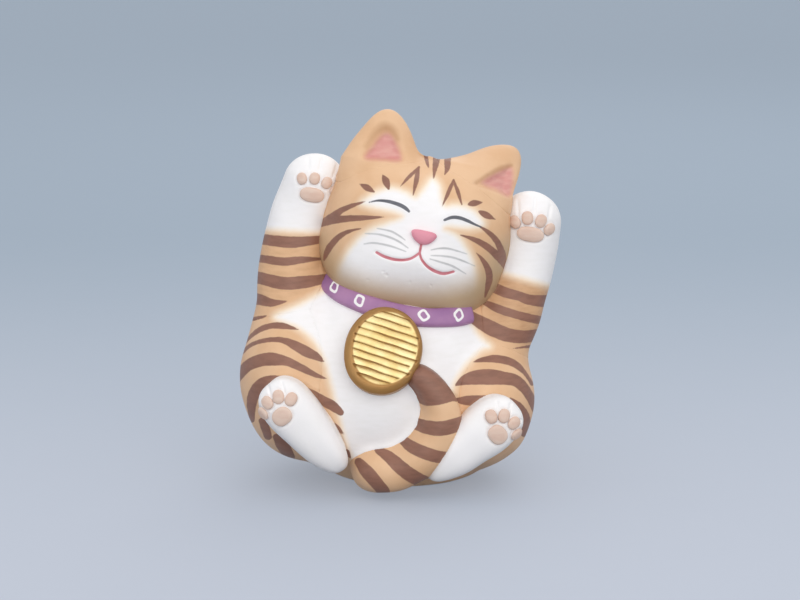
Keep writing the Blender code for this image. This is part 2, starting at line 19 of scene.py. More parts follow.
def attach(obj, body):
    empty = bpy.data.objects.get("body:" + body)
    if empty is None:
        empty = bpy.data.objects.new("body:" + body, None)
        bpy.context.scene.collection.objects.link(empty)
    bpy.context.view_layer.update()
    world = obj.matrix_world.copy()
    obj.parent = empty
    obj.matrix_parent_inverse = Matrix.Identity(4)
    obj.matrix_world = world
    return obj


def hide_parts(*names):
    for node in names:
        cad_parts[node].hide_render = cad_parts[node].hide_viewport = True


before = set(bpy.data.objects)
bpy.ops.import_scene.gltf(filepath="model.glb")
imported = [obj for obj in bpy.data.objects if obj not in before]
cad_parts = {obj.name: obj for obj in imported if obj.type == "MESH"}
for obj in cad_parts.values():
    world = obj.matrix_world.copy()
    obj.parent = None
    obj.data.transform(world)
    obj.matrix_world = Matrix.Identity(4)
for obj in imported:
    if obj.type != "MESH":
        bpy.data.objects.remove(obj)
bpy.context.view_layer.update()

Array = np.ndarray
Socket = bpy.types.NodeSocket
LOG = logging.getLogger("lucky_cat")
MM = 0.001
# Least length, size and slope that is divided by
LEAST_LENGTH = 1e-12
LEAST_SIZE = 1e-6
LEAST_SLOPE = 1e-9
# Depth, in pixels or millimetres, that stands for well outside a mark
FAR = 15.0
# Points of a curve on each span between two knots
STROKE_STEPS = 6
OUTLINE_STEPS = 4
# Unevenness of hand work: height and length of its waves, their number, the spread of their lengths
HAND_DEPTH = 0.00013
HAND_SIZE = 0.014
HAND_SEED = 11
HAND_WAVES = 14
HAND_SPREAD = (0.7, 1.5)
# Luting: rounds, share of each round's change that is taken, and the reach in millimetres of the
# darker brown line painted in a seam narrower than the limit
LUTE_ROUNDS = 7
LUTE_EASE = 0.9
NARROW_SEAM = 0.0025
SEAM_REACH = 0.9
# Rolls of clay: steps of the line, segments that a distance is taken to, rings on a half-round end
ROLL_STEPS = 60
ROLL_SPANS = 24
CAP_RINGS = 26
# Seating: where a line starts in front of a form, its steps, how near it has to come, and how much
# nearer to the middle it is tried again
SEAT_START = 0.1
SEAT_STEPS = 120
SEAT_TOUCH = 1e-5
SEAT_TRIES = 20
SEAT_SHRINK = 0.95


class Axis(Enum):
    """The three axes of a pose."""

    X = 0
    Y = 1
    Z = 2


class Side(Enum):
    """The cat's own sides; the value is the sign of X."""

    RIGHT = -1
    LEFT = 1


class Slot(Enum):
    """Material slots of the record."""

    WHITE = "white_slip"
    TABBY = "tabby_slip"
    COLLAR = "collar_purple"
    KOBAN = "koban_gold"
    NOSE = "nose_pink"
    PAD = "pad_pink"


class Channel(Enum):
    """Paint channels, each a point attribute in millimetres inside the painted edge."""

    WHITE = "white"
    STRIPE = "stripe"
    EYE = "eye"
    MOUTH = "mouth"
    WHISKER = "whisker"
    PINK = "pink"
    # SHADE: painted shade under the chin and in the ears' folds; on the arms, distance from their joints
    SHADE = "shade"
    SEAM = "seam"
    BARE = "bare"
    MARK = "mark"
    GROOVE = "groove"
    RIM = "rim"


# Poses, curves and small helpers


def turned(axis: Axis, degrees: float) -> Array:
    """Right-handed turn about one axis, as a 4x4 matrix."""
    first, second = ((1, 2), (2, 0), (0, 1))[axis.value]
    cosine = math.cos(math.radians(degrees))
    sine = math.sin(math.radians(degrees))
    pose = np.eye(4)
    pose[first, first] = pose[second, second] = cosine
    pose[first, second] = -sine
    pose[second, first] = sine
    return pose


def shifted(x: float, y: float, z: float) -> Array:
    """Shift as a 4x4 matrix."""
    pose = np.eye(4)
    pose[:3, 3] = (x, y, z)
    return pose


def tilted(lean: float, recline: float, turn: float = 0.0) -> Array:
    """Leans to +X, reclines to +Y and turns the front to +X, in degrees."""
    return turned(Axis.Y, lean) @ turned(Axis.X, -recline) @ turned(Axis.Z, turn)


def placed(pose: Array, points: Array) -> Array:
    """Points of a pose's own frame, in the shared frame."""
    return points @ pose[:3, :3].T + pose[:3, 3]


def local(pose: Array, points: Array) -> Array:
    """Points of the shared frame, in a pose's own frame."""
    return (points - pose[:3, 3]) @ pose[:3, :3]


def unit(vectors: Array) -> Array:
    """Vectors made one long."""
    return vectors / np.maximum(np.linalg.norm(vectors, axis=-1, keepdims=True), LEAST_LENGTH)


def circle(count: int) -> Array:
    """Even angles round a circle."""
    return 2.0 * math.pi * np.arange(count) / count


def smooth(low: float, high: float, value: Array) -> Array:
    """Smooth step: 0 at low, 1 at high, 3t^2 - 2t^3 between."""
    t = np.clip((value - low) / (high - low), 0.0, 1.0)
    return t * t * (3.0 - 2.0 * t)


def bell(value: Array) -> Array:
    """Bell curve exp(-v^2)."""
    return np.exp(-(value**2))


def between(at: Array, along: Array, rows: Array) -> Array:
    """Points between the rows of a line, at lengths along it."""
    return np.stack([np.interp(at, along, rows[:, i]) for i in range(rows.shape[1])], 1)


def lengths(line: Array) -> Array:
    """Length along a line up to each of its points."""
    return np.concatenate([[0.0], np.cumsum(np.linalg.norm(np.diff(line, axis=0), axis=1))])


def threaded(knots: Array, per_span: int, closed: bool = False) -> Array:
    """Smooth curve through every knot: on each span the cubic whose slope at a knot is half the
    step between the knots on either side of it.

    Args:
        knots: One row for each knot, in any number of values.
        per_span: Points on each span.
        closed: Whether the last knot joins the first.

    Returns:
        The points of the curve, one row each.
    """
    rows = np.asarray(knots, float)
    ends = (rows[-1:], rows[:2]) if closed else (rows[:1], rows[-1:])
    rows = np.vstack([ends[0], rows, ends[1]])
    a, b, c, d = rows[:-3], rows[1:-2], rows[2:-1], rows[3:]
    t = np.linspace(0.0, 1.0, per_span, endpoint=False)[:, None, None]
    curve = 2 * b + (c - a) * t + (2 * a - 5 * b + 4 * c - d) * t**2 + (3 * b - a - 3 * c + d) * t**3
    curve = 0.5 * curve.transpose(1, 0, 2).reshape(-1, rows.shape[1])
    return curve if closed else np.vstack([curve, rows[-2]])


def to_segment(spots: Array, start: Array, end: Array) -> tuple[Array, Array]:
    """Share of the way along a segment of the point nearest to each spot, and the distance to it."""
    span = end - start
    t = np.clip((spots - start) @ span / max(span @ span, LEAST_LENGTH), 0.0, 1.0)
    return t, np.linalg.norm(spots - start - t[:, None] * span, axis=1)


# Marks, and the viewing station that they are laid out from


class Mark(Protocol):
    """A painted or pressed mark that tells how deep places lie inside it."""

    def inside(self, at: Array) -> Array:
        """Depth inside the mark at rows of x and y, in their units, negative outside."""


@dataclass(frozen=True)
class Stroke:
    """A brush stroke: a smooth line of x, y and half width."""

    knots: tuple[tuple[float, float, float], ...]

    def inside(self, at: Array) -> Array:
        """Half width less the distance to the line, the most over its segments, and never below -FAR."""
        line = threaded(np.array(self.knots), STROKE_STEPS)
        low = line[:, :2].min(0) - FAR
        high = line[:, :2].max(0) + FAR
        near = ((at > low) & (at < high)).all(1)
        spots = at[near]
        best = np.full(len(spots), -FAR)
        for start, end in zip(line[:-1], line[1:]):
            t, away = to_segment(spots, start[:2], end[:2])
            best = np.maximum(best, start[2] + (end[2] - start[2]) * t - away)
        depth = np.full(len(at), -FAR)
        depth[near] = best
        return depth


@dataclass(frozen=True)
class Patch:
    """An airbrushed patch: a smooth closed outline of x and y."""

    outline: tuple[tuple[float, float], ...]

    def inside(self, at: Array) -> Array:
        """Distance to the outline, positive where a level line crosses it an odd number of times."""
        line = threaded(np.array(self.outline), OUTLINE_STEPS, closed=True)
        nearest = np.full(len(at), np.inf)
        odd = np.zeros(len(at), bool)
        for start, end in zip(line, np.roll(line, -1, 0)):
            nearest = np.minimum(nearest, to_segment(at, start, end)[1])
            if end[1] != start[1]:
                level = (at[:, 1] - start[1]) / (end[1] - start[1])
                crossing = at[:, 0] < start[0] + level * (end[0] - start[0])
                odd ^= ((start[1] > at[:, 1]) != (end[1] > at[:, 1])) & crossing
        return np.where(odd, nearest, -nearest)


@dataclass(frozen=True)
class Marks:
    """Several marks of one paint."""

    parts: tuple[Mark, ...]

    def inside(self, at: Array) -> Array:
        """Depth inside any of the marks, and never below -FAR."""
        return np.maximum.reduce([np.full(len(at), -FAR), *(mark.inside(at) for mark in self.parts)])


Knots = tuple[tuple[float, float, float], ...]


def strokes(*lines: Knots) -> Marks:
    """Brush strokes of one paint, each given by its knots."""
    return Marks(tuple(Stroke(knots) for knots in lines))


def mirrored(*lines: Knots) -> tuple[Knots, ...]:
    """Knots of strokes and of their mirror images across x = 0."""
    return tuple(tuple((sign * x, y, half) for x, y, half in knots) for knots in lines for sign in (1, -1))


@dataclass(frozen=True)
class Station:
    """Where the figure is seen from; marks are laid out in the pixels of an 800 by 600 picture."""

    aim: tuple[float, float, float] = (-0.0003, 0.0030, 0.0510)
    elevation: float = 12.0
    reach: float = 0.620
    focal: float = 2139.0
    width: float = 800.0
    height: float = 600.0
    sensor: float = 36.0

    def basis(self) -> Array:
        """Rows that run right, up and forward in the picture."""
        tilt = math.radians(self.elevation)
        forward = (0.0, math.cos(tilt), -math.sin(tilt))
        return np.array([(1.0, 0.0, 0.0), (0.0, math.sin(tilt), math.cos(tilt)), forward])

    def eye(self) -> Array:
        """Place of the lens."""
        return np.array(self.aim) - self.reach * self.basis()[2]

    def pixel(self) -> float:
        """Width of one pixel at the figure, in millimetres."""
        return self.reach / self.focal / MM

    def seen(self, points: Array) -> Array:
        """Places of points in the picture, in pixels: focal length times offset over depth."""
        seen = (points - self.eye()) @ self.basis().T
        across = self.width / 2 + self.focal * seen[:, 0] / seen[:, 2]
        down = self.height / 2 - self.focal * seen[:, 1] / seen[:, 2]
        return np.stack([across, down], 1)

    def depth(self, mark: Mark, points: Array) -> Array:
        """Depth of points inside a mark as it is seen, in millimetres."""
        return mark.inside(self.seen(points)) * self.pixel()

    def facing(self, skin: "Skin") -> Array:
        """Cosine between the normal at each point and the line to the lens."""
        return (unit(self.eye() - skin.points) * skin.normals()).sum(-1)


@dataclass(frozen=True)
class FaceMarks:
    """Marks of the head in pixels of the viewing station; the nape's are in millimetres across and up."""

    mask: Patch = Patch(
        ((434, 179), (440, 186), (442, 199), (446, 206), (453, 205), (463, 206), (473, 210), (481, 218),
         (484, 225), (474, 228), (460, 228), (449, 227), (445, 229), (452, 232), (459, 237), (467, 248),
         (473, 260), (477, 275), (477, 292), (471, 306), (462, 318), (420, 326), (380, 318), (350, 302),
         (336, 284), (337, 271), (343, 259), (351, 247), (361, 236), (373, 228), (387, 223), (398, 219),
         (402, 216), (396, 213), (384, 210), (370, 207), (361, 203), (370, 196), (381, 190), (394, 188),
         (406, 192), (415, 197), (420, 193), (426, 185), (430, 180))
    )
    eyes: Marks = strokes(
        ((369, 202.4, 0.6), (378, 200.6, 1.1), (388, 201.4, 1.7), (398, 204.2, 1.9), (405, 207.8, 1.9),
         (409, 211.4, 1.2)),
        ((444.6, 220, 1.2), (452, 217.4, 1.7), (460, 218, 1.8), (468, 221, 1.6), (474, 224, 1.2),
         (481, 227, 0.7)),
    )
    mouth: Marks = strokes(
        ((421.5, 243, 1.3), (420.6, 248, 1.2), (419.6, 253.5, 1.3)),
        ((376.6, 252.4, 1.3), (384, 256.4, 1.5), (394, 259.4, 1.5), (404, 260, 1.4), (412, 258, 1.3),
         (419.4, 253, 1.2)),
        ((419.6, 253, 1.2), (422, 260, 1.3), (428, 267, 1.5), (436, 271.6, 1.6), (444, 273.6, 1.5),
         (453.6, 271.6, 1.2)),
    )
    whiskers: Marks = strokes(
        ((377, 228.4, 0.5), (390, 231, 0.9), (398, 235, 0.9), (405, 240, 0.5)),
        ((365, 233.6, 0.5), (380, 234.6, 0.9), (396, 240, 1.0), (408, 248, 0.5)),
        ((364, 244, 0.5), (374, 243, 0.9), (390, 246, 1.0), (406, 251.6, 0.5)),
        ((431, 250, 0.5), (440, 248.4, 0.9), (450, 249, 0.9), (467, 254, 0.4)),
        ((431, 255.6, 0.5), (442, 256, 0.9), (456, 258.4, 1.0), (475, 266, 0.4)),
        ((430, 259, 0.5), (440, 262, 0.9), (453, 266.4, 1.0), (466, 274, 0.4)),
    )
    cheeks: Marks = strokes(
        ((365, 201.4, 0.4), (354, 205, 2.0), (342, 210, 2.9), (332, 217, 3.8), (318, 225.5, 3.0)),
        ((384.4, 217, 0.3), (374, 217.5, 1.7), (360, 218, 2.8), (346, 218.8, 3.3), (332, 220.6, 3.8),
         (318, 225.5, 2.4)),
        ((361, 228.6, 0.4), (350, 231, 1.7), (340, 236, 2.7), (332, 244, 3.2), (327, 252, 3.0),
         (324, 260, 1.0)),
        ((480, 226.6, 0.8), (488, 232, 2.2), (496, 240, 3.0), (501, 250, 3.3), (503.4, 258, 3.0),
         (504, 268, 0.8)),
        ((460.4, 235, 0.4), (470, 238, 1.9), (480, 242.4, 3.0), (490, 249, 3.5), (498, 257, 3.5),
         (504, 268, 0.8)),
        ((476.4, 253, 0.4), (482, 259, 2.0), (487.4, 268, 3.2), (489.4, 277, 3.4), (488, 286, 2.8),
         (485, 297, 0.8)),
    )
    brow: Marks = strokes(
        ((359.6, 184, 0.3), (367, 187.6, 3.2), (374, 191.8, 0.9)),
        ((382.6, 174.8, 0.5), (386, 181.4, 3.6), (388.6, 188.6, 1.2)),
        ((419, 167.2, 1.1), (409, 177, 1.7), (400.2, 186.6, 0.3)),
        ((418.6, 168, 1.3), (416.4, 180, 2.5), (413, 195.4, 0.3)),
        ((453.6, 180, 1.1), (449, 191, 2.0), (442.2, 206.4, 0.3)),
        ((453.6, 180.6, 1.1), (458, 192, 1.9), (461.8, 204.6, 0.8)),
        ((468.8, 204.4, 1.2), (474, 203.2, 3.2), (482.8, 202.2, 0.3)),
        ((479.4, 211.6, 1.3), (486, 215, 3.4), (495.4, 219.4, 0.3)),
    )
    crown: Marks = strokes(
        ((424, 148, 2.2), (426, 157, 2.1), (427.3, 163, 1.6), (428.8, 168, 0.4)),
        ((438, 148, 3.6), (436.5, 159, 3.5), (435, 168, 2.5), (433.6, 178.6, 0.4)),
        ((448, 150, 3.4), (447.5, 163, 3.2), (447, 169, 2.4), (444.6, 174.6, 0.5)),
    )
    # outline of the painted shade under the chin
    chin: Patch = Patch(
        ((312, 240), (334, 272), (352, 284), (380, 293), (410, 297), (440, 297), (468, 291), (488, 277),
         (512, 248), (530, 300), (420, 345), (310, 305))
    )
    dents: Marks = strokes(
        ((385.4, 274.4, 0.9), (386.8, 275.4, 1.0)),
        ((383, 271.6, 0.5), (383.6, 271.8, 0.5)),
        ((409.6, 282, 0.5), (410.4, 282.4, 0.5)),
        ((430.6, 285.6, 0.6), (431.6, 286, 0.5)),
        ((367, 279.6, 0.4), (368, 280, 0.4)),
    )
    nape: Marks = strokes(
        ((-1.1, 25, 0.6), (-2.6, 16, 1.0), (-4.8, 8, 1.3), (-7.0, -1, 0.2)),
        ((2.1, 25, 1.0), (1.7, 14, 1.5), (0.9, 4, 1.6), (0.0, -7, 0.2)),
        ((5.3, 25, 1.0), (6.3, 15, 1.2), (7.8, 8, 1.3), (9.6, 0, 0.2)),
    )


@dataclass(frozen=True)
class BodyMarks:
    """Marks of the belly and tail in pixels of the viewing station; the back's are in millimetres across
    and up."""

    belly: Patch = Patch(
        ((275, 316), (300, 304), (324, 291), (350, 280), (400, 285), (450, 295), (467, 312), (477, 333),
         (490, 346), (481, 351), (467, 364), (458, 377), (453, 388), (449, 405), (440, 430), (415, 452),
         (385, 468), (360, 467), (351, 458), (347, 447), (343, 434), (339, 417), (334, 397), (329, 377),
         (324, 360), (314, 342), (298, 328), (283, 322))
    )
    tail: Marks = Marks((
        Patch(((380, 345), (420, 352), (448, 372), (458, 399), (452, 401.4), (440, 404.6), (424, 405.4),
               (412, 396), (402, 384), (380, 375))),
        Stroke(((412, 422, 5.0), (418, 424.4, 6.0), (428, 427.4, 7.0), (440, 428.6, 7.4),
                (452, 426.4, 7.2), (464, 422, 6.6))),
        Stroke(((400, 437, 4.0), (411, 446.4, 6.0), (425, 453, 6.4), (438, 456.8, 6.2), (454, 458, 5.8))),
        Stroke(((378, 450, 3.6), (389, 457, 5.8), (400, 467, 7.0), (412, 476, 7.0), (428, 484, 6.4))),
        Stroke(((359, 462, 4.4), (367, 472, 6.6), (375, 481, 6.4), (384, 492, 6.0))),
    ))
    back: Marks = strokes(
        ((0, 34, 1.0), (0, 20, 2.2), (0, 4, 2.8), (0, -14, 2.4), (0, -26, 0.6)),
        *mirrored(
            ((-31.5, 17, 0.2), (-27, 18.2, 1.7), (-18, 20.4, 2.2), (-7, 23, 0.3)),
            ((-33.5, 4.4, 0.2), (-29, 5.7, 2.0), (-17, 9.4, 2.6), (-6, 12, 0.3)),
            ((-32.5, -7.4, 0.2), (-28, -6, 2.1), (-16, -2.4, 2.6), (-6, 0, 0.3)),
            ((-26, -17.8, 0.2), (-22, -16.5, 1.9), (-14, -13.5, 2.1), (-6, -11, 0.3)),
        ),
    )


@dataclass(frozen=True)
class SideMarks:
    """Marks of one side's ear, arm, thigh and foot, in pixels of the viewing station.

    The sleeve is a line, given by two points, below which the arm is orange.
    """

    hollow: Patch
    pink: Patch
    # stroke of the painted shade along the ear's fold
    fold_shade: Stroke
    sleeve: tuple[float, float, float, float]
    arm: Marks
    thigh: Marks
    toes: Marks
    claws: Marks


SIDE_MARKS = {
    Side.RIGHT: SideMarks(
        hollow=Patch(
            ((361, 158), (367, 146), (375, 134), (385, 126), (394, 130), (401, 143), (405, 160),
             (384, 161))
        ),
        pink=Patch(
            ((365, 158), (374, 145), (382, 135), (390, 134), (396, 143), (401, 160), (384, 160))
        ),
        fold_shade=Stroke(
            ((366, 146, 0.8), (374, 134, 2.2), (384, 126, 3.6), (393, 130, 3.0), (398, 139, 1.2))
        ),
        sleeve=(262.0, 229.5, 322.0, 233.0),
        arm=strokes(
            ((250, 238, 5.2), (265, 239.6, 5.3), (291, 242.3, 5.7), (319, 239.8, 4.0), (330, 239, 4.0)),
            ((250, 258, 3.8), (264, 259, 4.0), (283, 261.6, 4.2), (300, 260, 3.7), (321, 258.8, 1.2),
             (328, 258.8, 1.0)),
            ((246, 275, 5.8), (260, 278, 6.0), (283, 283.2, 6.4), (305, 282, 6.2), (325, 278.5, 4.5),
             (332, 276, 4.0)),
            ((246, 298, 5.6), (259, 299.5, 5.6), (270, 302.5, 4.2), (278, 302.5, 2.6), (287, 301.3, 0.4)),
            ((250, 320, 2.4), (259, 318, 2.0), (267, 315.4, 0.4)),
        ),
        thigh=strokes(
            ((240, 349, 1.2), (249, 338.3, 1.6), (258.7, 330.2, 2.6), (270.3, 326, 2.9),
             (282, 325.8, 3.2), (290.3, 327.5, 2.1), (298.6, 329.6, 0.4)),
            ((236, 362, 1.6), (242, 353.3, 1.6), (251, 345, 1.9), (265.3, 340.4, 2.3), (282, 340, 2.9),
             (295.3, 345.6, 4.7), (307, 352, 5.2), (317, 357, 3.6), (323.6, 362, 0.8)),
            ((234, 384, 3.8), (239.5, 375, 4.6), (248.7, 365.2, 5.6), (262, 360, 6.4),
             (273.7, 359.2, 6.4), (287, 361.4, 4.6), (302, 368.2, 3.7), (315.3, 374.8, 2.5),
             (328.6, 379.8, 0.4)),
            ((285, 378, 1.2), (273, 379.4, 4.2), (262, 384, 6.0), (254.5, 393.3, 6.0), (251.5, 405, 4.8),
             (252, 420, 2.6)),
            ((299, 386.4, 1.6), (308.7, 392, 3.6), (320.3, 399, 4.7), (332, 405.6, 5.0),
             (340.6, 412.4, 3.4)),
            ((326.6, 420.4, 0.8), (335.3, 426.7, 3.0), (343.4, 433.8, 0.9)),
            ((344, 450.4, 1.2), (347, 452.2, 2.8), (350, 457.6, 0.8)),
            ((262, 421, 3.4), (265, 427, 4.4), (268, 436, 4.0)),
            ((276, 437, 3.2), (283, 446, 6.2), (291, 457, 4.0)),
        ),
        toes=strokes(
            ((308.6, 158, 0.7), (308.2, 168, 0.7)),
            ((322, 158, 0.7), (319.6, 169, 0.7)),
            ((338, 163, 0.7), (333, 177, 0.7)),
        ),
        claws=strokes(
            ((268, 386, 0.8), (270.4, 396, 0.8)),
            ((281.6, 382, 0.8), (284.4, 392, 0.8)),
        ),
    ),
    Side.LEFT: SideMarks(
        hollow=Patch(
            ((474, 184), (487, 175), (501, 167), (513, 165), (516, 180), (512, 198), (498, 193))
        ),
        pink=Patch(
            ((482, 183), (492, 175), (504, 169), (512, 168), (513, 182), (509, 196), (497, 190))
        ),
        fold_shade=Stroke(
            ((476, 183, 0.5), (488, 174.6, 1.0), (500, 168.6, 1.4), (511, 165.6, 0.8))
        ),
        sleeve=(502.0, 273.0, 546.0, 285.0),
        arm=strokes(
            ((484, 281, 5.0), (496, 288.2, 5.2), (506, 292.6, 5.2), (518, 295.8, 4.8), (529, 299.6, 5.2),
             (542, 301, 5.9), (556, 301, 6.0)),
            ((476, 298, 1.2), (486, 303, 2.8), (498, 308.6, 4.2), (514, 314, 4.2), (537, 319.6, 4.2),
             (552, 321, 4.4)),
            ((464, 310, 4.6), (472, 317, 5.4), (488, 326.5, 7.3), (506, 334.4, 7.1), (522, 336.8, 6.4),
             (534, 335.4, 5.8), (548, 333, 5.4)),
            ((513, 348.6, 0.4), (525, 347.0, 1.2), (538, 346.0, 2.0)),
        ),
        thigh=strokes(
            ((472.6, 362.4, 0.4), (483.3, 359.6, 2.6), (496.7, 358.8, 3.9), (510, 361.7, 3.9),
             (519, 367, 3.1), (526, 374.6, 2.0), (532, 384, 1.8)),
            ((454.6, 386, 0.4), (465, 380, 5.0), (476.7, 377.4, 7.3), (490, 377, 7.8),
             (503.3, 378.2, 6.6), (515, 380.4, 6.0), (523.6, 387.5, 5.2), (530, 397, 4.4),
             (536, 410, 4.0)),
            ((455, 400.2, 1.8), (466.7, 400.6, 4.8), (476.7, 400, 4.7), (486.7, 398, 2.7),
             (493, 395.8, 0.5)),
            ((510.4, 398.4, 1.0), (518.3, 405, 3.1), (524, 414, 4.4), (526, 423, 4.6), (524, 434, 3.0)),
            ((456, 420.6, 2.6), (464, 419.3, 3.0), (469.4, 417.6, 0.6)),
        ),
        toes=strokes(
            ((517.6, 201, 0.7), (518.4, 214, 0.7)),
            ((535.4, 198, 0.7), (534.6, 213, 0.7)),
            ((550.6, 206, 0.7), (549, 218, 0.7)),
        ),
        claws=strokes(
            ((497, 402, 0.8), (498.4, 409, 0.8)),
            ((511, 404, 0.8), (509.6, 411, 0.8)),
            ((521, 420, 0.8), (517.6, 426, 0.8)),
        ),
    ),
}
FACE_MARKS = FaceMarks()
BODY_MARKS = BodyMarks()


# Clay forms


class Form(Protocol):
    """A clay form that tells how far points are outside it."""

    def distance(self, points: Array) -> Array:
        """Distance outside the form in metres, negative inside."""


Seams = list[tuple[Form, float]]


@dataclass
class Skin:
    """A closed surface on a grid of rings and segments.

    The rings close on a pole point at each end, or where there are no poles the last ring joins the
    first. Paint holds one value for each point.
    """

    grid: Array
    poles: Array | None
    paint: dict[Channel, Array] = field(default_factory=dict)

    @property
    def points(self) -> Array:
        """All points, the grid's row by row and then the poles."""
        flat = self.grid.reshape(-1, 3)
        return flat if self.poles is None else np.vstack([flat, self.poles])

    def move_to(self, points: Array) -> None:
        """Puts all points in new places."""
        count = self.grid.shape[0] * self.grid.shape[1]
        self.grid = points[:count].reshape(self.grid.shape)
        if self.poles is not None:
            self.poles = points[count:]

    def faces(self) -> tuple[Array, Array]:
        """Quads between neighbouring rings and triangles to the poles, turned so that the enclosed
        volume, a sixth of the sum of p . (q x r) over its triangles, is positive.

        Returns:
            Rows of four and rows of three point numbers.
        """
        rings, segments = self.grid.shape[:2]
        index = np.arange(rings * segments).reshape(rings, segments)
        low = index if self.poles is None else index[:-1]
        high = np.roll(index, -1, 0) if self.poles is None else index[1:]
        quads = np.stack([low, np.roll(low, -1, 1), np.roll(high, -1, 1), high], -1).reshape(-1, 4)
        caps = np.zeros((0, 3), int)
        if self.poles is not None:
            first = np.full(segments, rings * segments)
            start = np.stack([first, np.roll(index[0], -1), index[0]], -1)
            end = np.stack([first + 1, index[-1], np.roll(index[-1], -1)], -1)
            caps = np.vstack([start, end])
        triangles = np.vstack([quads[:, [0, 1, 2]], quads[:, [0, 2, 3]], caps])
        corners = self.points[triangles]
        volume = (corners[:, 0] * np.cross(corners[:, 1], corners[:, 2])).sum()
        return (quads, caps) if volume > 0 else (quads[:, ::-1], caps[:, ::-1])

    def normals(self) -> Array:
        """Outward normals: at each point the sum of the cross products of its faces' diagonals."""
        quads, caps = self.faces()
        points = self.points
        total = np.zeros_like(points)
        a, b, c, d = points[quads].transpose(1, 0, 2)
        across = np.cross(c - a, d - b)
        a, b, c = points[caps].transpose(1, 0, 2)
        sides = np.cross(b - a, c - a)
        for corners, products in ((quads, across), (caps, sides)):
            for corner in corners.T:
                np.add.at(total, corner, products)
        return unit(total)

    def push(self, amount: Array) -> None:
        """Moves every point outwards along its normal."""
        self.move_to(self.points + self.normals() * amount[:, None])

    def lute(self, seams: Seams) -> None:
        """Draws the surface out to a fillet towards each neighbour, then kneads it.

        A point moves along its normal by t until t equals the sum over the neighbours of
        h^2 / 4k, where h is k less the difference between t and the distance to the neighbour.

        Args:
            seams: Each neighbour's form and the width k of the fillet.
        """
        points = self.points
        normals = self.normals()
        travel = np.zeros(len(points))
        seam = np.full(len(points), -FAR)
        for _ in range(LUTE_ROUNDS):
            fillet = np.zeros(len(points))
            spots = points + normals * travel[:, None]
            for form, width in seams:
                gap = form.distance(spots)
                fillet += np.maximum(width - np.abs(travel - gap), 0.0) ** 2 / (4.0 * width)
                if width < NARROW_SEAM:
                    seam = np.maximum(seam, SEAM_REACH - np.abs(gap) / MM)
            travel = (1.0 - LUTE_EASE) * travel + LUTE_EASE * fillet
        self.move_to(points + normals * travel[:, None])
        self.paint[Channel.SEAM] = seam
        self.knead()

    def knead(self) -> None:
        """Gives the surface the unevenness of hand work, the same wherever two pieces meet: a sum of
        sine waves in random directions."""
        draw = np.random.default_rng(HAND_SEED)
        directions = unit(draw.normal(size=(HAND_WAVES, 3))) * draw.uniform(*HAND_SPREAD, (HAND_WAVES, 1))
        phases = draw.uniform(0.0, 2.0 * math.pi, HAND_WAVES)
        waves = np.sin(self.points @ directions.T * (2.0 * math.pi / HAND_SIZE) + phases)
        self.push(HAND_DEPTH * (waves.sum(-1) / math.sqrt(HAND_WAVES)))

    def mesh(self, name: str) -> bpy.types.Mesh:
        """The surface as a named mesh, with its paint as point attributes."""
        quads, caps = self.faces()
        mesh = bpy.data.meshes.new(name)
        mesh.vertices.add(len(self.points))
        mesh.vertices.foreach_set("co", self.points.astype(np.float32).ravel())
        corners = np.concatenate([quads.ravel(), caps.ravel()]).astype(np.int32)
        mesh.loops.add(len(corners))
        mesh.loops.foreach_set("vertex_index", corners)
        starts = np.concatenate([np.arange(len(quads)) * 4, len(quads) * 4 + np.arange(len(caps)) * 3])
        mesh.polygons.add(len(starts))
        mesh.polygons.foreach_set("loop_start", starts.astype(np.int32))
        mesh.polygons.foreach_set("use_smooth", np.ones(len(starts), bool))
        mesh.update(calc_edges=True)
        mesh.validate()
        for channel, values in self.paint.items():
            attribute = mesh.attributes.new(channel.value, "FLOAT", "POINT")
            attribute.data.foreach_set("value", values.astype(np.float32))
        return mesh


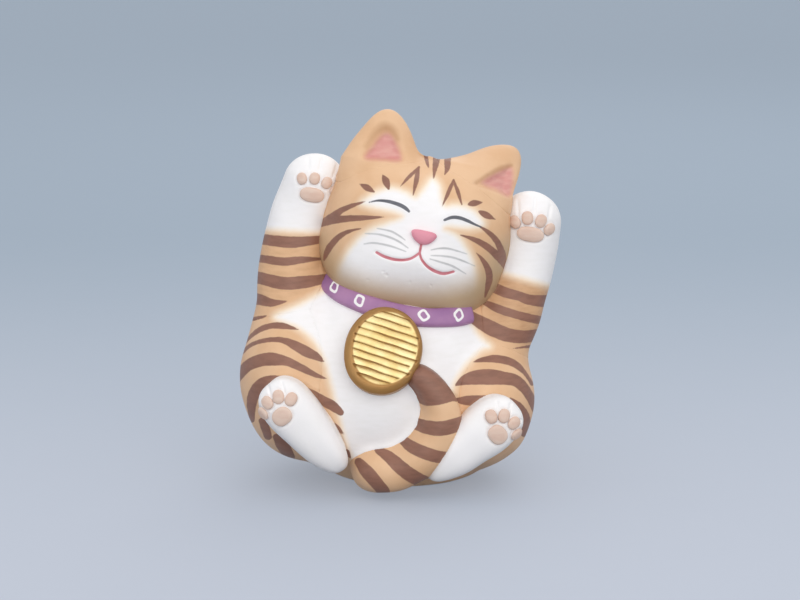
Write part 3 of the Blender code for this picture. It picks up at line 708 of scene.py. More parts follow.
@dataclass(frozen=True)
class Lump:
    """A rounded lump: |x/a|^p + |y/b|^p + |z/c|^p = 1 in its own pose, with another c below its
    girth where it has a drop and x widened by the flare towards its top. Below the girth x is shifted
    by the settle times the square of z/c and narrowed by the jaw times that square."""

    pose: Array
    half: tuple[float, float, float]
    power: float = 2.0
    drop: float | None = None
    flare: float = 0.0
    settle: float = 0.0
    jaw: float = 0.0
    least_jaw: float = 0.2

    def halves(self, level: Array) -> Array:
        """Half sizes at each level."""
        half = np.broadcast_to(np.array(self.half), (*level.shape, 3)).copy()
        if self.drop is not None:
            half[..., 2] = np.where(level < 0, self.drop, half[..., 2])
        return half

    def distance(self, points: Array) -> Array:
        """Distance outside: (g - 1) / |grad g|, where g is the root of the sum of powers."""
        spots = local(self.pose, points)
        half = self.halves(spots[..., 2])
        below = (np.minimum(spots[..., 2], 0.0) / half[..., 2]) ** 2
        spots[..., 0] -= self.settle * below
        spots[..., 0] /= np.maximum(1.0 - self.jaw * below, self.least_jaw)
        spots[..., 0] /= 1.0 + self.flare * spots[..., 2] / self.half[2]
        share = np.abs(spots) / half
        size = np.maximum((share**self.power).sum(-1) ** (1.0 / self.power), LEAST_SIZE)
        slope = (((share / size[..., None]) ** (self.power - 1.0) / half) ** 2).sum(-1)
        return (size - 1.0) / np.sqrt(np.maximum(slope, LEAST_SLOPE))

    def skin(self, axis: Axis, rings: int, segments: int, ease: float = 1.0) -> Skin:
        """The surface on rings about an axis: directions of a sphere scaled to the lump.

        Args:
            axis: Axis through the two poles; the first pole is on its negative side.
            rings: Rings between the poles.
            segments: Points on each ring.
            ease: 1 spaces the rings evenly, less crowds them near the first pole.

        Returns:
            The surface.
        """
        t = np.arange(1, rings + 1) / (rings + 1)
        polar = math.pi * (ease * t + (1.0 - ease) * t**2)
        turn = circle(segments)
        ball = np.empty((rings, segments, 3))
        ball[..., axis.value] = -np.cos(polar)[:, None]
        ball[..., (axis.value + 1) % 3] = np.sin(polar)[:, None] * np.cos(turn)
        ball[..., (axis.value + 2) % 3] = np.sin(polar)[:, None] * np.sin(turn)
        ends = np.zeros((2, 3))
        ends[:, axis.value] = (-1.0, 1.0)
        return Skin(self.shaped(ball), self.shaped(ends))

    def shaped(self, ball: Array) -> Array:
        """Points of a sphere on the lump: direction times half size over the root of the sum of powers."""
        scale = (np.abs(ball) ** self.power).sum(-1, keepdims=True) ** (-1.0 / self.power)
        half = self.halves(ball[..., 2])
        spots = ball * half * scale
        spots[..., 0] *= 1.0 + self.flare * spots[..., 2] / self.half[2]
        below = (np.minimum(spots[..., 2], 0.0) / half[..., 2]) ** 2
        spots[..., 0] = spots[..., 0] * (1.0 - self.jaw * below) + self.settle * below
        return placed(self.pose, spots)

    def ring(self, points: Array) -> Array:
        """Share of the way from the middle of a flat lump to its outline in x and z."""
        spots = local(self.pose, points)
        return np.hypot(spots[:, 0] / self.half[0], spots[:, 2] / self.half[2])


@dataclass(frozen=True)
class Roll:
    """A roll of clay: a round section carried along a smooth line, with half-round ends."""

    spine: Array
    radii: Array
    reference: Array

    @staticmethod
    def along(knots: Array, radii: tuple[float, ...], reference: Array) -> "Roll":
        """A roll through knots.

        Args:
            knots: Points that the line passes through.
            radii: Radii at even steps along the line.
            reference: Direction that the first point of each section keeps close to.

        Returns:
            The roll.
        """
        fine = threaded(knots, ROLL_STEPS)
        along = lengths(fine)
        even = np.linspace(0.0, along[-1], ROLL_STEPS + 1)
        widths = np.interp(even / along[-1], np.linspace(0.0, 1.0, len(radii)), radii)
        return Roll(between(even, along, fine), widths, reference)

    def length(self) -> float:
        """Length of the line."""
        return float(lengths(self.spine)[-1])

    def distance(self, points: Array) -> Array:
        """Distance outside: the least, over the segments between the ends' centres, of the distance
        to the segment less its radius."""
        flat = points.reshape(-1, 3)
        share = np.linspace(0.0, 1.0, len(self.spine))
        ends = (self.radii[0] / self.length(), 1.0 - self.radii[-1] / self.length())
        at = np.linspace(*ends, ROLL_SPANS + 1)
        line = between(at, share, self.spine)
        radii = np.interp(at, share, self.radii)
        best = np.full(len(flat), np.inf)
        for i in range(ROLL_SPANS):
            t, away = to_segment(flat, line[i], line[i + 1])
            best = np.minimum(best, away - radii[i] - (radii[i + 1] - radii[i]) * t)
        return best.reshape(points.shape[:-1])

    def skin(self, rings: int, segments: int) -> Skin:
        """The surface on rings along the line; on a half-round end the radius falls as the sine of
        the angle from its tip.

        Args:
            rings: Rings between the two ends.
            segments: Points on each ring.

        Returns:
            The surface.
        """
        total = self.length()
        angle = np.arange(1, CAP_RINGS + 1) / CAP_RINGS * math.pi / 2
        first = self.radii[0] * (1.0 - np.cos(angle))
        last = total - self.radii[-1] * (1.0 - np.cos(angle[::-1]))
        middle = np.linspace(first[-1], last[0], rings + 2)[1:-1]
        stations = np.concatenate([first, middle, last])
        share = np.concatenate([np.sin(angle), np.ones(rings), np.sin(angle[::-1])])
        along = np.linspace(0.0, total, len(self.spine))
        tangents = unit(between(stations, along, unit(np.gradient(self.spine, axis=0))))
        radii = np.interp(stations, along, self.radii) * share
        side = unit(self.reference - (tangents @ self.reference)[:, None] * tangents)
        third = np.cross(tangents, side)
        turn = circle(segments)[None, :, None]
        ring = np.cos(turn) * side[:, None] + np.sin(turn) * third[:, None]
        grid = between(stations, along, self.spine)[:, None] + radii[:, None, None] * ring
        return Skin(grid, np.stack([self.spine[0], self.spine[-1]]))


def seated(form: Form, pose: Array, x: float, z: float) -> tuple[Array, Array]:
    """Where a line along a pose's +Y first meets a form: steps as long as the distance left.

    Args:
        form: Form to meet.
        pose: Pose whose x and z place the line.
        x: Place across.
        z: Place up.

    Returns:
        The point and the outward normal there.
    """
    share = 1.0
    spot = np.zeros((1, 3))
    for _ in range(SEAT_TRIES):
        spot = placed(pose, np.array([[x * share, -SEAT_START, z * share]]))
        for _ in range(SEAT_STEPS):
            spot = spot + pose[:3, 1] * form.distance(spot)[:, None]
        if abs(form.distance(spot)[0]) < SEAT_TOUCH:
            break
        share *= SEAT_SHRINK
    step = SEAT_TOUCH * np.eye(3)
    normal = form.distance(spot + step) - form.distance(spot - step)
    return spot[0], unit(normal)


def set_on(place: Array, normal: Array, up: Array) -> Array:
    """Pose on a surface whose +Y runs into it and whose +Z keeps close to an up direction."""
    across = unit(np.cross(-normal, up))
    pose = np.eye(4)
    pose[:3, :3] = np.stack([across, -normal, np.cross(across, -normal)], 1)
    pose[:3, 3] = place
    return pose


# Finishes


@dataclass(frozen=True)
class Tint:
    """A colour as it looks, 0 to 255."""

    red: float
    green: float
    blue: float

    def linear(self) -> tuple[float, float, float, float]:
        """The colour in linear light: (c + 0.055) / 1.055 to the power 2.4."""
        values = [((v / 255.0 + 0.055) / 1.055) ** 2.4 for v in (self.red, self.green, self.blue)]
        return (*values, 1.0)


ORANGE = Tint(233, 192, 152)
ORANGE_DEEP = Tint(224, 180, 138)
# deeper oranges of the arms; the left arm's darker pair stands for painted shade
ORANGE_TAN = Tint(214, 170, 128)
ORANGE_PAINTED_SHADE = Tint(200, 154, 114)
CREAM = Tint(250, 231, 204)
WHITE = Tint(250, 248, 248)
WHITE_WARM = Tint(247, 245, 244)
BROWN = Tint(145, 100, 82)
BROWN_DEEP = Tint(131, 89, 73)
EYE_GREY = Tint(96, 98, 106)
EYE_DARK = Tint(72, 74, 82)
ROSE = Tint(196, 96, 106)
ROSE_PALE = Tint(214, 126, 136)
WHISKER_GREY = Tint(182, 181, 182)
WHISKER_DARK = Tint(160, 159, 161)
EAR_PINK = Tint(216, 150, 142)
EAR_PINK_PALE = Tint(224, 168, 157)
# FOLD: painted shade in the ears' folds; also the second tint of the seam line
FOLD = Tint(196, 148, 104)
SEAM_BROWN = Tint(176, 140, 112)
CLAY = Tint(206, 186, 164)
CLAY_DARK = Tint(186, 164, 142)
PURPLE = Tint(174, 128, 168)
PURPLE_DEEP = Tint(152, 106, 155)
PAD = Tint(230, 206, 190)
PAD_DEEP = Tint(222, 190, 172)
NOSE = Tint(226, 148, 164)
NOSE_DEEP = Tint(212, 124, 142)
GOLD = Tint(254, 235, 176)
GOLD_DEEP = Tint(243, 212, 142)
# dark brown of the rim band, in part a painted shade
GOLD_RIM_AND_SHADE = Tint(158, 110, 52)
GOLD_DARK = Tint(156, 110, 52)
# painted shade under the chin, tinted tan like the light reflected up onto it
CHIN_PAINTED_SHADE = Tint(190, 162, 126)


@dataclass(frozen=True)
class Noise:
    """Noise: the size of its blotches in metres, its detail and its scale along each axis."""

    size: float
    detail: float
    stretch: tuple[float, float, float] = (1.0, 1.0, 1.0)


class Bench:
    """A material's nodes, added one by one; each method returns the node's output."""

    def __init__(self, name: str) -> None:
        """Starts a material with only a Principled shader."""
        self.material = bpy.data.materials.new(name)
        self.material.use_nodes = True
        self.nodes = self.material.node_tree.nodes
        self.links = self.material.node_tree.links
        self.shader = self.nodes["Principled BSDF"].inputs
        self.place = self.nodes.new("ShaderNodeTexCoord").outputs["Object"]

    def feed(self, socket: Socket, value: object) -> None:
        """Links an output to a socket, or sets a plain value on it."""
        if isinstance(value, Socket):
            self.links.new(value, socket)
        else:
            socket.default_value = value

    def channel(self, channel: Channel) -> Socket:
        """A paint channel of the piece."""
        node = self.nodes.new("ShaderNodeAttribute")
        node.attribute_name = channel.value
        return node.outputs["Fac"]

    def noise(self, noise: Noise) -> Socket:
        """Noise, about 0 to 1."""
        mapping = self.nodes.new("ShaderNodeMapping")
        mapping.inputs["Scale"].default_value = noise.stretch
        self.links.new(self.place, mapping.inputs["Vector"])
        node = self.nodes.new("ShaderNodeTexNoise")
        node.inputs["Scale"].default_value = 1.0 / noise.size
        node.inputs["Detail"].default_value = noise.detail
        self.links.new(mapping.outputs["Vector"], node.inputs["Vector"])
        return node.outputs["Fac"]

    def pits(self, size: float) -> Socket:
        """Distance to the nearest of scattered points, in shares of the size between them."""
        node = self.nodes.new("ShaderNodeTexVoronoi")
        node.inputs["Scale"].default_value = 1.0 / size
        self.links.new(self.place, node.inputs["Vector"])
        return node.outputs["Distance"]

    def math(self, operation: str, *values: object) -> Socket:
        """One sum of two or three values."""
        node = self.nodes.new("ShaderNodeMath")
        node.operation = operation
        for socket, value in zip(node.inputs, values):
            self.feed(socket, value)
        return node.outputs[0]

    def step(self, value: object, low: float, high: float, top: float = 1.0) -> Socket:
        """Smooth step of a value from 0 at low to top at high."""
        node = self.nodes.new("ShaderNodeMapRange")
        node.interpolation_type = "SMOOTHSTEP"
        self.feed(node.inputs["Value"], value)
        node.inputs["From Min"].default_value = low
        node.inputs["From Max"].default_value = high
        node.inputs["To Max"].default_value = top
        return node.outputs["Result"]

    def mix(self, share: object, first: object, second: object) -> Socket:
        """Blend of two colours, given as tints or outputs."""
        node = self.nodes.new("ShaderNodeMix")
        node.data_type = "RGBA"
        self.feed(node.inputs[0], share)
        for number, colour in ((6, first), (7, second)):
            self.feed(node.inputs[number], colour.linear() if isinstance(colour, Tint) else colour)
        return node.outputs[2]

    def bump(self, height: object, strength: float, depth: float) -> Socket:
        """Normal tilted by a height."""
        node = self.nodes.new("ShaderNodeBump")
        node.inputs["Strength"].default_value = strength
        node.inputs["Distance"].default_value = depth
        self.feed(node.inputs["Height"], height)
        return node.outputs["Normal"]


@dataclass(frozen=True)
class Layer:
    """One coat of paint, where a channel, in millimetres, is above an offset: it fades in over twice the
    edge, along a line that strays by half the wander either way."""

    channel: Channel
    tint: Tint
    second: Tint
    edge: float
    wander: float
    offset: float = 0.0
    cover: float = 1.0


@dataclass(frozen=True)
class Slip:
    """Painted pottery: a base colour with layers of paint over it, satin, with the fine unevenness
    of fired slip and a few pinholes."""

    name: str
    base: Tint
    second: Tint
    layers: tuple[Layer, ...]
    roughness: float = 0.5
    grain: float = 0.22
    sheen: float = 0.16
    cloud: Noise = Noise(0.011, 4.0)
    cloud_range: tuple[float, float] = (0.35, 0.72)
    brush: Noise = Noise(0.0016, 5.0)
    streak: Noise = Noise(0.004, 4.0, (1.0, 1.0, 3.5))
    streak_range: tuple[float, float] = (0.34, 0.74)
    fine: Noise = Noise(0.0009, 6.0)
    fine_share: float = 0.35
    broad: Noise = Noise(0.0060, 3.0)
    broad_share: float = 1.2
    pit_spacing: float = 0.0075
    pit_size: float = 0.045
    pit_share: float = 0.5
    bump_depth: float = 0.0004

    def make(self) -> bpy.types.Material:
        """Builds the material."""
        bench = Bench(self.name)
        cloud = bench.noise(self.cloud)
        bench.feed(bench.shader["Base Color"], self.colour(bench, cloud))
        satin = bench.math("MULTIPLY_ADD", cloud, self.sheen, self.roughness - self.sheen / 2)
        bench.feed(bench.shader["Roughness"], satin)
        fine = bench.math("MULTIPLY", bench.noise(self.fine), self.fine_share)
        broad = bench.math("MULTIPLY", bench.noise(self.broad), self.broad_share)
        holes = bench.step(bench.pits(self.pit_spacing), 0.0, self.pit_size, self.pit_share)
        height = bench.math("ADD", bench.math("ADD", fine, broad), holes)
        bench.feed(bench.shader["Normal"], bench.bump(height, self.grain, self.bump_depth))
        return bench.material

    def colour(self, bench: Bench, cloud: Socket) -> Socket:
        """Base colour in two clouded tones, then each layer in two streaked tones over it."""
        brush = bench.noise(self.brush)
        streak = bench.noise(self.streak)
        colour = bench.mix(bench.step(cloud, *self.cloud_range), self.base, self.second)
        for layer in self.layers:
            stray = bench.math("MULTIPLY_ADD", brush, layer.wander, -0.5 * layer.wander)
            depth = bench.math("ADD", bench.channel(layer.channel), stray)
            share = bench.step(depth, layer.offset - layer.edge, layer.offset + layer.edge, layer.cover)
            paint = bench.mix(bench.step(streak, *self.streak_range), layer.tint, layer.second)
            colour = bench.mix(share, colour, paint)
        return colour


@dataclass(frozen=True)
class GoldPaint:
    """Gold paint on clay: bright on the ridges, dark brown along the grooves and on the rim, whose
    brown is in part a painted shade."""

    name: str
    smoothest: float = 0.24
    sheen: float = 0.3
    metallic: float = 0.42
    cloud: Noise = Noise(0.005, 4.0)
    cloud_range: tuple[float, float] = (0.3, 0.7)
    flake: Noise = Noise(0.0007, 5.0)
    flake_share: float = 0.2
    flake_grain: float = 0.3
    flake_depth: float = 0.0002
    rim_steps: tuple[float, float, float] = (0.0, 0.22, 0.92)
    groove_steps: tuple[float, float, float] = (0.30, 1.0, 0.9)

    def make(self) -> bpy.types.Material:
        """Builds the material."""
        bench = Bench(self.name)
        cloud = bench.noise(self.cloud)
        flake = bench.noise(self.flake)
        colour = bench.mix(bench.step(cloud, *self.cloud_range), GOLD, GOLD_DEEP)
        colour = bench.mix(bench.step(bench.channel(Channel.RIM), *self.rim_steps), colour, GOLD_RIM_AND_SHADE)
        settled = bench.math("MULTIPLY", flake, self.flake_share)
        settled = bench.math("ADD", bench.channel(Channel.GROOVE), settled)
        colour = bench.mix(bench.step(settled, *self.groove_steps), colour, GOLD_DARK)
        bench.feed(bench.shader["Base Color"], colour)
        bench.feed(bench.shader["Metallic"], self.metallic)
        bench.feed(bench.shader["Roughness"], bench.math("MULTIPLY_ADD", flake, self.sheen, self.smoothest))
        bench.feed(bench.shader["Normal"], bench.bump(flake, self.flake_grain, self.flake_depth))
        return bench.material


# darker brown line along narrow seams
SEAM_LAYER = Layer(Channel.SEAM, SEAM_BROWN, FOLD, edge=0.9, wander=0.5, offset=0.6, cover=0.45)
AIRBRUSH = (
    Layer(Channel.WHITE, CREAM, CREAM, edge=1.7, wander=0.5, offset=-0.7),
    Layer(Channel.WHITE, WHITE, WHITE_WARM, edge=1.3, wander=0.5, offset=0.5),
)
STRIPES = Layer(Channel.STRIPE, BROWN, BROWN_DEEP, edge=0.13, wander=0.32, cover=0.97)


# Sub-assemblies

# Depth of the belly's white, in millimetres, for each unit of the cosine of the facing
BELLY_TURN = 12.0
# Cuts between toes: where they start and are full, as cosines of the facing and in millimetres
CUT_FACING = (0.1, 0.4)
CUT_EDGE = (-0.5, 0.2)


def show(name: str, skin: Skin, finish: Slip | GoldPaint, slot: Slot) -> None:
    """Makes a piece that stands for the CAD node of its name and rides on the figure.

    Args:
        name: Name of the CAD node.
        skin: Surface of the piece.
        finish: Finish, made once for all the pieces that share its name.
        slot: Material slot of the record.
    """
    mesh = skin.mesh(name + "_skin")
    mesh.materials.append(bpy.data.materials.get(finish.name) or finish.make())
    piece = bpy.data.objects.new(name + "_skin", mesh)
    bpy.context.scene.collection.objects.link(piece)
    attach(piece, "root")
    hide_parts(name)
    LOG.info("%s: %d points, slot %s", piece.name, len(mesh.vertices), slot.value)


@dataclass(frozen=True)
class Stance:
    """How the figure sits, and the sizes that its pieces share, in metres and degrees."""

    body_lean: float = 10.0
    body_recline: float = 6.0
    leg_lean: float = 5.0
    head_lean: float = 12.0
    head_recline: float = 6.0
    head_turn: float = 3.5
    girth_height: float = 0.0250
    offset_x: float = -0.0041
    offset_y: float = 0.0030
    head_bottom: float = 0.0216
    head_level: float = 0.0440
    head_forward: float = 0.0052
    paw_level: float = 0.0550
    torso_width: float = 0.0720
    torso_depth: float = 0.0620
    head_width: float = 0.0542
    head_height: float = 0.0448

    def centre(self) -> Array:
        """Shift to the middle of the girth."""
        return shifted(self.offset_x, self.offset_y, self.girth_height)

    def body(self) -> Array:
        """Pose of the torso and arms."""
        return self.centre() @ tilted(self.body_lean, self.body_recline)

    def legs(self) -> Array:
        """Pose of the hind legs."""
        return self.centre() @ tilted(self.leg_lean, 0.0)

    def head(self) -> Array:
        """Pose of the head."""
        middle = placed(self.body(), np.array((0.0, -self.head_forward, self.head_level)))
        return shifted(*middle) @ tilted(self.head_lean, self.head_recline, self.head_turn)


@dataclass
class Piece:
    """What every piece knows: how the figure sits and where it is seen from."""

    stance: Stance
    station: Station

    def belly_white(self, skin: Skin) -> Array:
        """Depth inside the white of the belly, in millimetres, on the side that faces the station."""
        depth = self.station.depth(BODY_MARKS.belly, skin.points)
        return np.minimum(depth, BELLY_TURN * self.station.facing(skin))


@dataclass
class SidePiece(Piece):
    """A piece of one side, with that side's marks."""

    side: Side

    @property
    def sign(self) -> int:
        """Sign of X on this side."""
        return self.side.value

    @property
    def marks(self) -> SideMarks:
        """Marks of this side."""
        return SIDE_MARKS[self.side]

    def named(self, word: str) -> str:
        """Name with the side before it."""
        return self.side.name.lower() + "_" + word

    def carve(self, skin: Skin, cuts: Marks, depth: float, pads: "Pads") -> None:
        """Cuts lines between the toes, on the side that faces the station, and a moat round each pad.

        Args:
            skin: Surface to cut.
            cuts: Lines between the toes.
            depth: Depth of the lines.
            pads: Pads that it carries.
        """
        front = smooth(*CUT_FACING, self.station.facing(skin))
        lines = self.station.depth(cuts, skin.points)
        skin.push(-depth * smooth(*CUT_EDGE, lines) * front)
        skin.push(pads.moat(skin.points))


@dataclass
class Torso(Piece):
    """The egg-shaped torso with its flat base and firing vent; the back's stripes fade in over a
    stretch, in millimetres."""

    rise: float = 0.0420
    drop: float = 0.0300
    settle: float = 0.0058
    vent_diameter: float = 0.0080
    vent_depth: float = 0.0120
    vent_wall: float = 0.0003
    base_edge: float = 0.0016
    back_stretch: tuple[float, float] = (-2.0, 6.0)
    back_fade: float = 3.0
    bare_height: float = 0.5
    rings: int = 210
    segments: int = 350

    def form(self) -> Lump:
        """The egg."""
        half = (self.stance.torso_width / 2, self.stance.torso_depth / 2, self.rise)
        return Lump(self.stance.body(), half, drop=self.drop, settle=self.settle)

    def build(self, seams: Seams) -> Skin:
        """The egg luted to the limbs, its base flattened by z = max(z, 0) with a rounded edge, and
        the vent sunk as a step of the radius from the middle of the base."""
        skin = self.form().skin(Axis.Z, self.rings, self.segments)
        skin.lute(seams)
        points = skin.points
        level = points[:, 2]
        rounding = np.maximum(self.base_edge - np.abs(level), 0.0) ** 2 / (4.0 * self.base_edge)
        points[:, 2] = np.maximum(level, 0.0) + rounding
        away = np.hypot(points[:, 0] - self.stance.offset_x, points[:, 1] - self.stance.offset_y)
        radius = self.vent_diameter / 2
        wall = smooth(radius + self.vent_wall, radius - self.vent_wall, away)
        points[:, 2] += np.where(level < 0.0, wall * self.vent_depth, 0.0)
        skin.move_to(points)
        return skin

    def dress(self, skin: Skin) -> None:
        """White belly, orange back with stripes, the limbs' stripes where they run on, bare clay
        under the base."""
        points = skin.points
        skin.paint[Channel.WHITE] = self.belly_white(skin)
        spots = local(self.stance.body(), points) / MM
        behind = smooth(*self.back_stretch, spots[:, 1])
        stripes = BODY_MARKS.back.inside(spots[:, [0, 2]]) - self.back_fade * (1.0 - behind)
        limbs = Marks(tuple(part for marks in SIDE_MARKS.values() for part in (marks.arm, marks.thigh)))
        onto = np.where(self.station.facing(skin) > 0.0, self.station.depth(limbs, points), -FAR)
        skin.paint[Channel.STRIPE] = np.maximum(np.where(behind > 0, stripes, -FAR), onto)
        skin.paint[Channel.BARE] = self.bare_height - points[:, 2] / MM
        bare = Layer(Channel.BARE, CLAY, CLAY_DARK, edge=0.4, wander=0.5)
        finish = Slip("painted_body", ORANGE, ORANGE_DEEP, (*AIRBRUSH, STRIPES, SEAM_LAYER, bare))
        show("body", skin, finish, Slot.WHITE)


@dataclass
class Head(Piece):
    """The head: a rounded box with a low muzzle, and the painted face. Distances in the paint are in
    millimetres."""

    depth: float = 0.0440
    chin: float = 0.0030
    jaw: float = 0.15
    squareness: float = 2.5
    muzzle_rise: float = 0.0014
    muzzle_width: float = 0.0180
    muzzle_height: float = 0.0110
    muzzle_drop: float = 0.0040
    jowl_rise: float = 0.0006
    jowl_spread: float = 0.0062
    jowl_size: float = 0.0052
    jowl_drop: float = 0.0012
    mouth_depth: float = 0.00028
    mouth_edge: tuple[float, float] = (-0.5, 0.35)
    lid_rise: float = 0.00030
    lid_edge: tuple[float, float] = (-2.6, 0.4)
    lid_pixels: tuple[float, float] = (0.0, 5.0)
    dent_depth: float = 0.00022
    dent_edge: tuple[float, float] = (-0.35, 0.25)
    mask_reach: float = 6.0
    cheek_taper: float = 0.12
    crown_reach: float = 3.0
    rings: int = 196
    segments: int = 500
    ring_ease: float = 0.45

    def form(self) -> Lump:
        """The rounded box."""
        half = (self.stance.head_width / 2, self.depth / 2, self.stance.head_height / 2)
        return Lump(self.stance.head(), half, self.squareness, half[2] + self.chin, jaw=self.jaw)

    def build(self, seams: Seams) -> Skin:
        """The rounded box with a bell-shaped muzzle and two smaller bells for the jowls, luted, with a
        cut along the mouth, a low ridge above each closed eye and a few dents in the chin."""
        pose = self.stance.head()
        skin = self.form().skin(Axis.Y, self.rings, self.segments, self.ring_ease)
        spots = local(pose, skin.points)
        across = 2.0 * spots[:, 0] / self.muzzle_width
        along = 2.0 * (spots[:, 2] + self.muzzle_drop) / self.muzzle_height
        rise = self.muzzle_rise * bell(np.hypot(across, along))
        beside = (np.abs(spots[:, 0]) - self.jowl_spread) / self.jowl_size
        level = (spots[:, 2] + self.muzzle_drop + self.jowl_drop) / self.jowl_size
        rise += self.jowl_rise * bell(np.hypot(beside, level))
        spots[:, 1] -= np.where(spots[:, 1] < 0, rise, 0.0)
        skin.move_to(placed(pose, spots))
        skin.lute(seams)
        points = skin.points
        lids = FACE_MARKS.eyes.inside(self.station.seen(points) + self.lid_pixels) * self.station.pixel()
        change = self.lid_rise * smooth(*self.lid_edge, lids)
        mouth, dents = [self.station.depth(mark, points) for mark in (FACE_MARKS.mouth, FACE_MARKS.dents)]
        change -= self.mouth_depth * smooth(*self.mouth_edge, mouth)
        change -= self.dent_depth * smooth(*self.dent_edge, dents)
        skin.push(np.where(local(pose, points)[:, 1] < 0, change, 0.0))
        return skin

    def dress(self, skin: Skin) -> None:
        """White mask, painted shade under the chin, cheek and brow marks, closed eyes, mouth and whiskers."""
        spots = local(self.stance.head(), skin.points) / MM
        back = spots[:, 1]

        def seen(mark: Mark, reach: float = 0.0) -> Array:
            """Depth inside a mark, down to a reach behind the middle of the head."""
            return self.station.depth(mark, skin.points) + np.where(back < reach, 0.0, -FAR)

        mask = self.station.depth(FACE_MARKS.mask, skin.points)
        cheeks = self.station.depth(FACE_MARKS.cheeks, skin.points) - self.cheek_taper * np.maximum(back, 0.0)
        crown = seen(FACE_MARKS.crown, self.crown_reach)
        nape = FACE_MARKS.nape.inside(spots[:, [0, 2]]) + np.where(back > 0.0, 0.0, -FAR)
        skin.paint |= {
            Channel.WHITE: np.minimum(mask, self.mask_reach - back),
            Channel.STRIPE: np.maximum.reduce([cheeks, seen(FACE_MARKS.brow), crown, nape]),
            Channel.EYE: seen(FACE_MARKS.eyes),
            Channel.MOUTH: seen(FACE_MARKS.mouth),
            Channel.WHISKER: seen(FACE_MARKS.whiskers),
            Channel.SHADE: seen(FACE_MARKS.chin),
        }
        layers = (
            *AIRBRUSH,
            # painted shade and reflected light under the chin
            Layer(Channel.SHADE, CHIN_PAINTED_SHADE, CHIN_PAINTED_SHADE, edge=4.9, wander=0.6, offset=-2.7, cover=0.97),
            STRIPES,
            Layer(Channel.WHISKER, WHISKER_GREY, WHISKER_DARK, edge=0.20, wander=0.16, cover=0.75),
            Layer(Channel.EYE, EYE_GREY, EYE_DARK, edge=0.10, wander=0.12, cover=0.97),
            Layer(Channel.MOUTH, ROSE, ROSE_PALE, edge=0.12, wander=0.12, cover=0.95),
            SEAM_LAYER,
        )
        show("head", skin, Slip("painted_head", ORANGE, ORANGE_DEEP, layers), Slot.TABBY)


@dataclass
class Ear(SidePiece):
    """One ear: a round-tipped wedge with a hollow in its front."""

    splay: float
    recline: float
    shear: float
    inset: float
    sink: float
    width: float
    fold_shade_edge: float
    fold_shade_cover: float
    forward: float = 0.0048
    depth: float = 0.0115
    length: float = 0.0155
    root: float = 0.6
    taper: float = 0.62
    most_level: float = 1.2
    slope_step: float = 0.0001
    tip_power: int = 6
    hollow_depth: float = 0.0019
    hollow_facing: tuple[float, float] = (0.05, 0.35)
    hollow_edge: tuple[float, float] = (-0.7, 2.6)
    rings: int = 120
    segments: int = 150

    def pose(self) -> Array:
        """Pose of the ear on the head, its base at zero."""
        across = self.sign * (self.stance.head_width / 2 - self.inset)
        base = shifted(across, -self.forward, self.stance.head_height / 2 - self.sink)
        turn = turned(Axis.Y, self.sign * self.splay) @ turned(Axis.X, -self.recline)
        return self.stance.head() @ base @ turn

    def lean(self, level: Array) -> Array:
        """Shift of the section at a level, away from the middle of the head."""
        return self.sign * self.shear * self.length * np.maximum(level, 0.0)

    def closing(self, level: Array) -> Array:
        """Share of the way up to the tip or down to the root, raised to the tip power."""
        return (level / np.where(level > 0, 1.0, self.root)) ** self.tip_power

    def size(self, spots: Array) -> Array:
        """Size of the wedge through points of its own frame, 1 on its own surface: the root of the
        squares of the oval section, over the taper, plus the tip power of the level."""
        level = spots[..., 2] / self.length
        high = np.clip(level, 0.0, self.most_level)
        across = (spots[..., 0] - self.lean(high)) / (self.width / 2)
        section = (across**2 + (2.0 * spots[..., 1] / self.depth) ** 2) / (1.0 - self.taper * high) ** 2
        return np.sqrt(section + self.closing(level))

    def distance(self, points: Array) -> Array:
        """Distance outside the wedge: (g - 1) / |grad g| of its size g, the slope taken over short
        steps."""
        spots = local(self.pose(), points)
        steps = self.slope_step * np.eye(3)
        rise = [(self.size(spots + step) - self.size(spots - step)) / (2 * self.slope_step) for step in steps]
        slope = np.sqrt(sum(part**2 for part in rise))
        return (self.size(spots) - 1.0) / np.maximum(slope, 1.0 / self.width)

    def build(self, seams: Seams) -> Skin:
        """The wedge on rings of its oval section, whose share of the full size is the taper times the
        root of 1 - level^p, luted to the head, with the hollow pressed in."""
        up = -np.cos(math.pi * np.arange(1, self.rings + 1) / (self.rings + 1))
        level = ((1.0 + self.root) * (1.0 + up) / 2 - self.root)[:, None]
        close = np.sqrt(np.maximum(1.0 - self.closing(level), 0.0))
        share = (1.0 - self.taper * np.maximum(level, 0.0)) * close
        turn = circle(self.segments)
        across = self.lean(level) + self.width / 2 * share * np.cos(turn)
        tall = np.broadcast_to(self.length * level, across.shape)
        grid = np.stack([across, self.depth / 2 * share * np.sin(turn), tall], -1)
        poles = np.array([(0.0, 0.0, -self.length * self.root), (self.lean(1.0), 0.0, self.length)])
        skin = Skin(placed(self.pose(), grid), placed(self.pose(), poles))
        skin.lute(seams)
        front = smooth(*self.hollow_facing, self.station.facing(skin))
        inside = self.station.depth(self.marks.hollow, skin.points)
        skin.push(-self.hollow_depth * smooth(*self.hollow_edge, inside) * front)
        return skin

    def dress(self, skin: Skin) -> None:
        """Pink airbrushed in the hollow, with painted shade along its fold, and the strokes that run
        over from the crown."""
        front = np.where(self.station.facing(skin) > 0.0, 0.0, -FAR)
        painted = (
            (Channel.PINK, self.marks.pink),
            (Channel.SHADE, self.marks.fold_shade),
            (Channel.STRIPE, FACE_MARKS.crown),
        )
        for channel, mark in painted:
            skin.paint[channel] = self.station.depth(mark, skin.points) + front
        layers = (
            STRIPES,
            Layer(Channel.PINK, EAR_PINK, EAR_PINK_PALE, edge=1.1, wander=0.5),
            # painted shade along the fold at the top of the hollow
            Layer(Channel.SHADE, FOLD, FOLD, self.fold_shade_edge, wander=0.3, offset=-0.2, cover=self.fold_shade_cover),
            SEAM_LAYER,
        )
        finish = Slip(self.named("ear_paint"), ORANGE, ORANGE_DEEP, layers)
        show(self.named("ear"), skin, finish, Slot.TABBY)


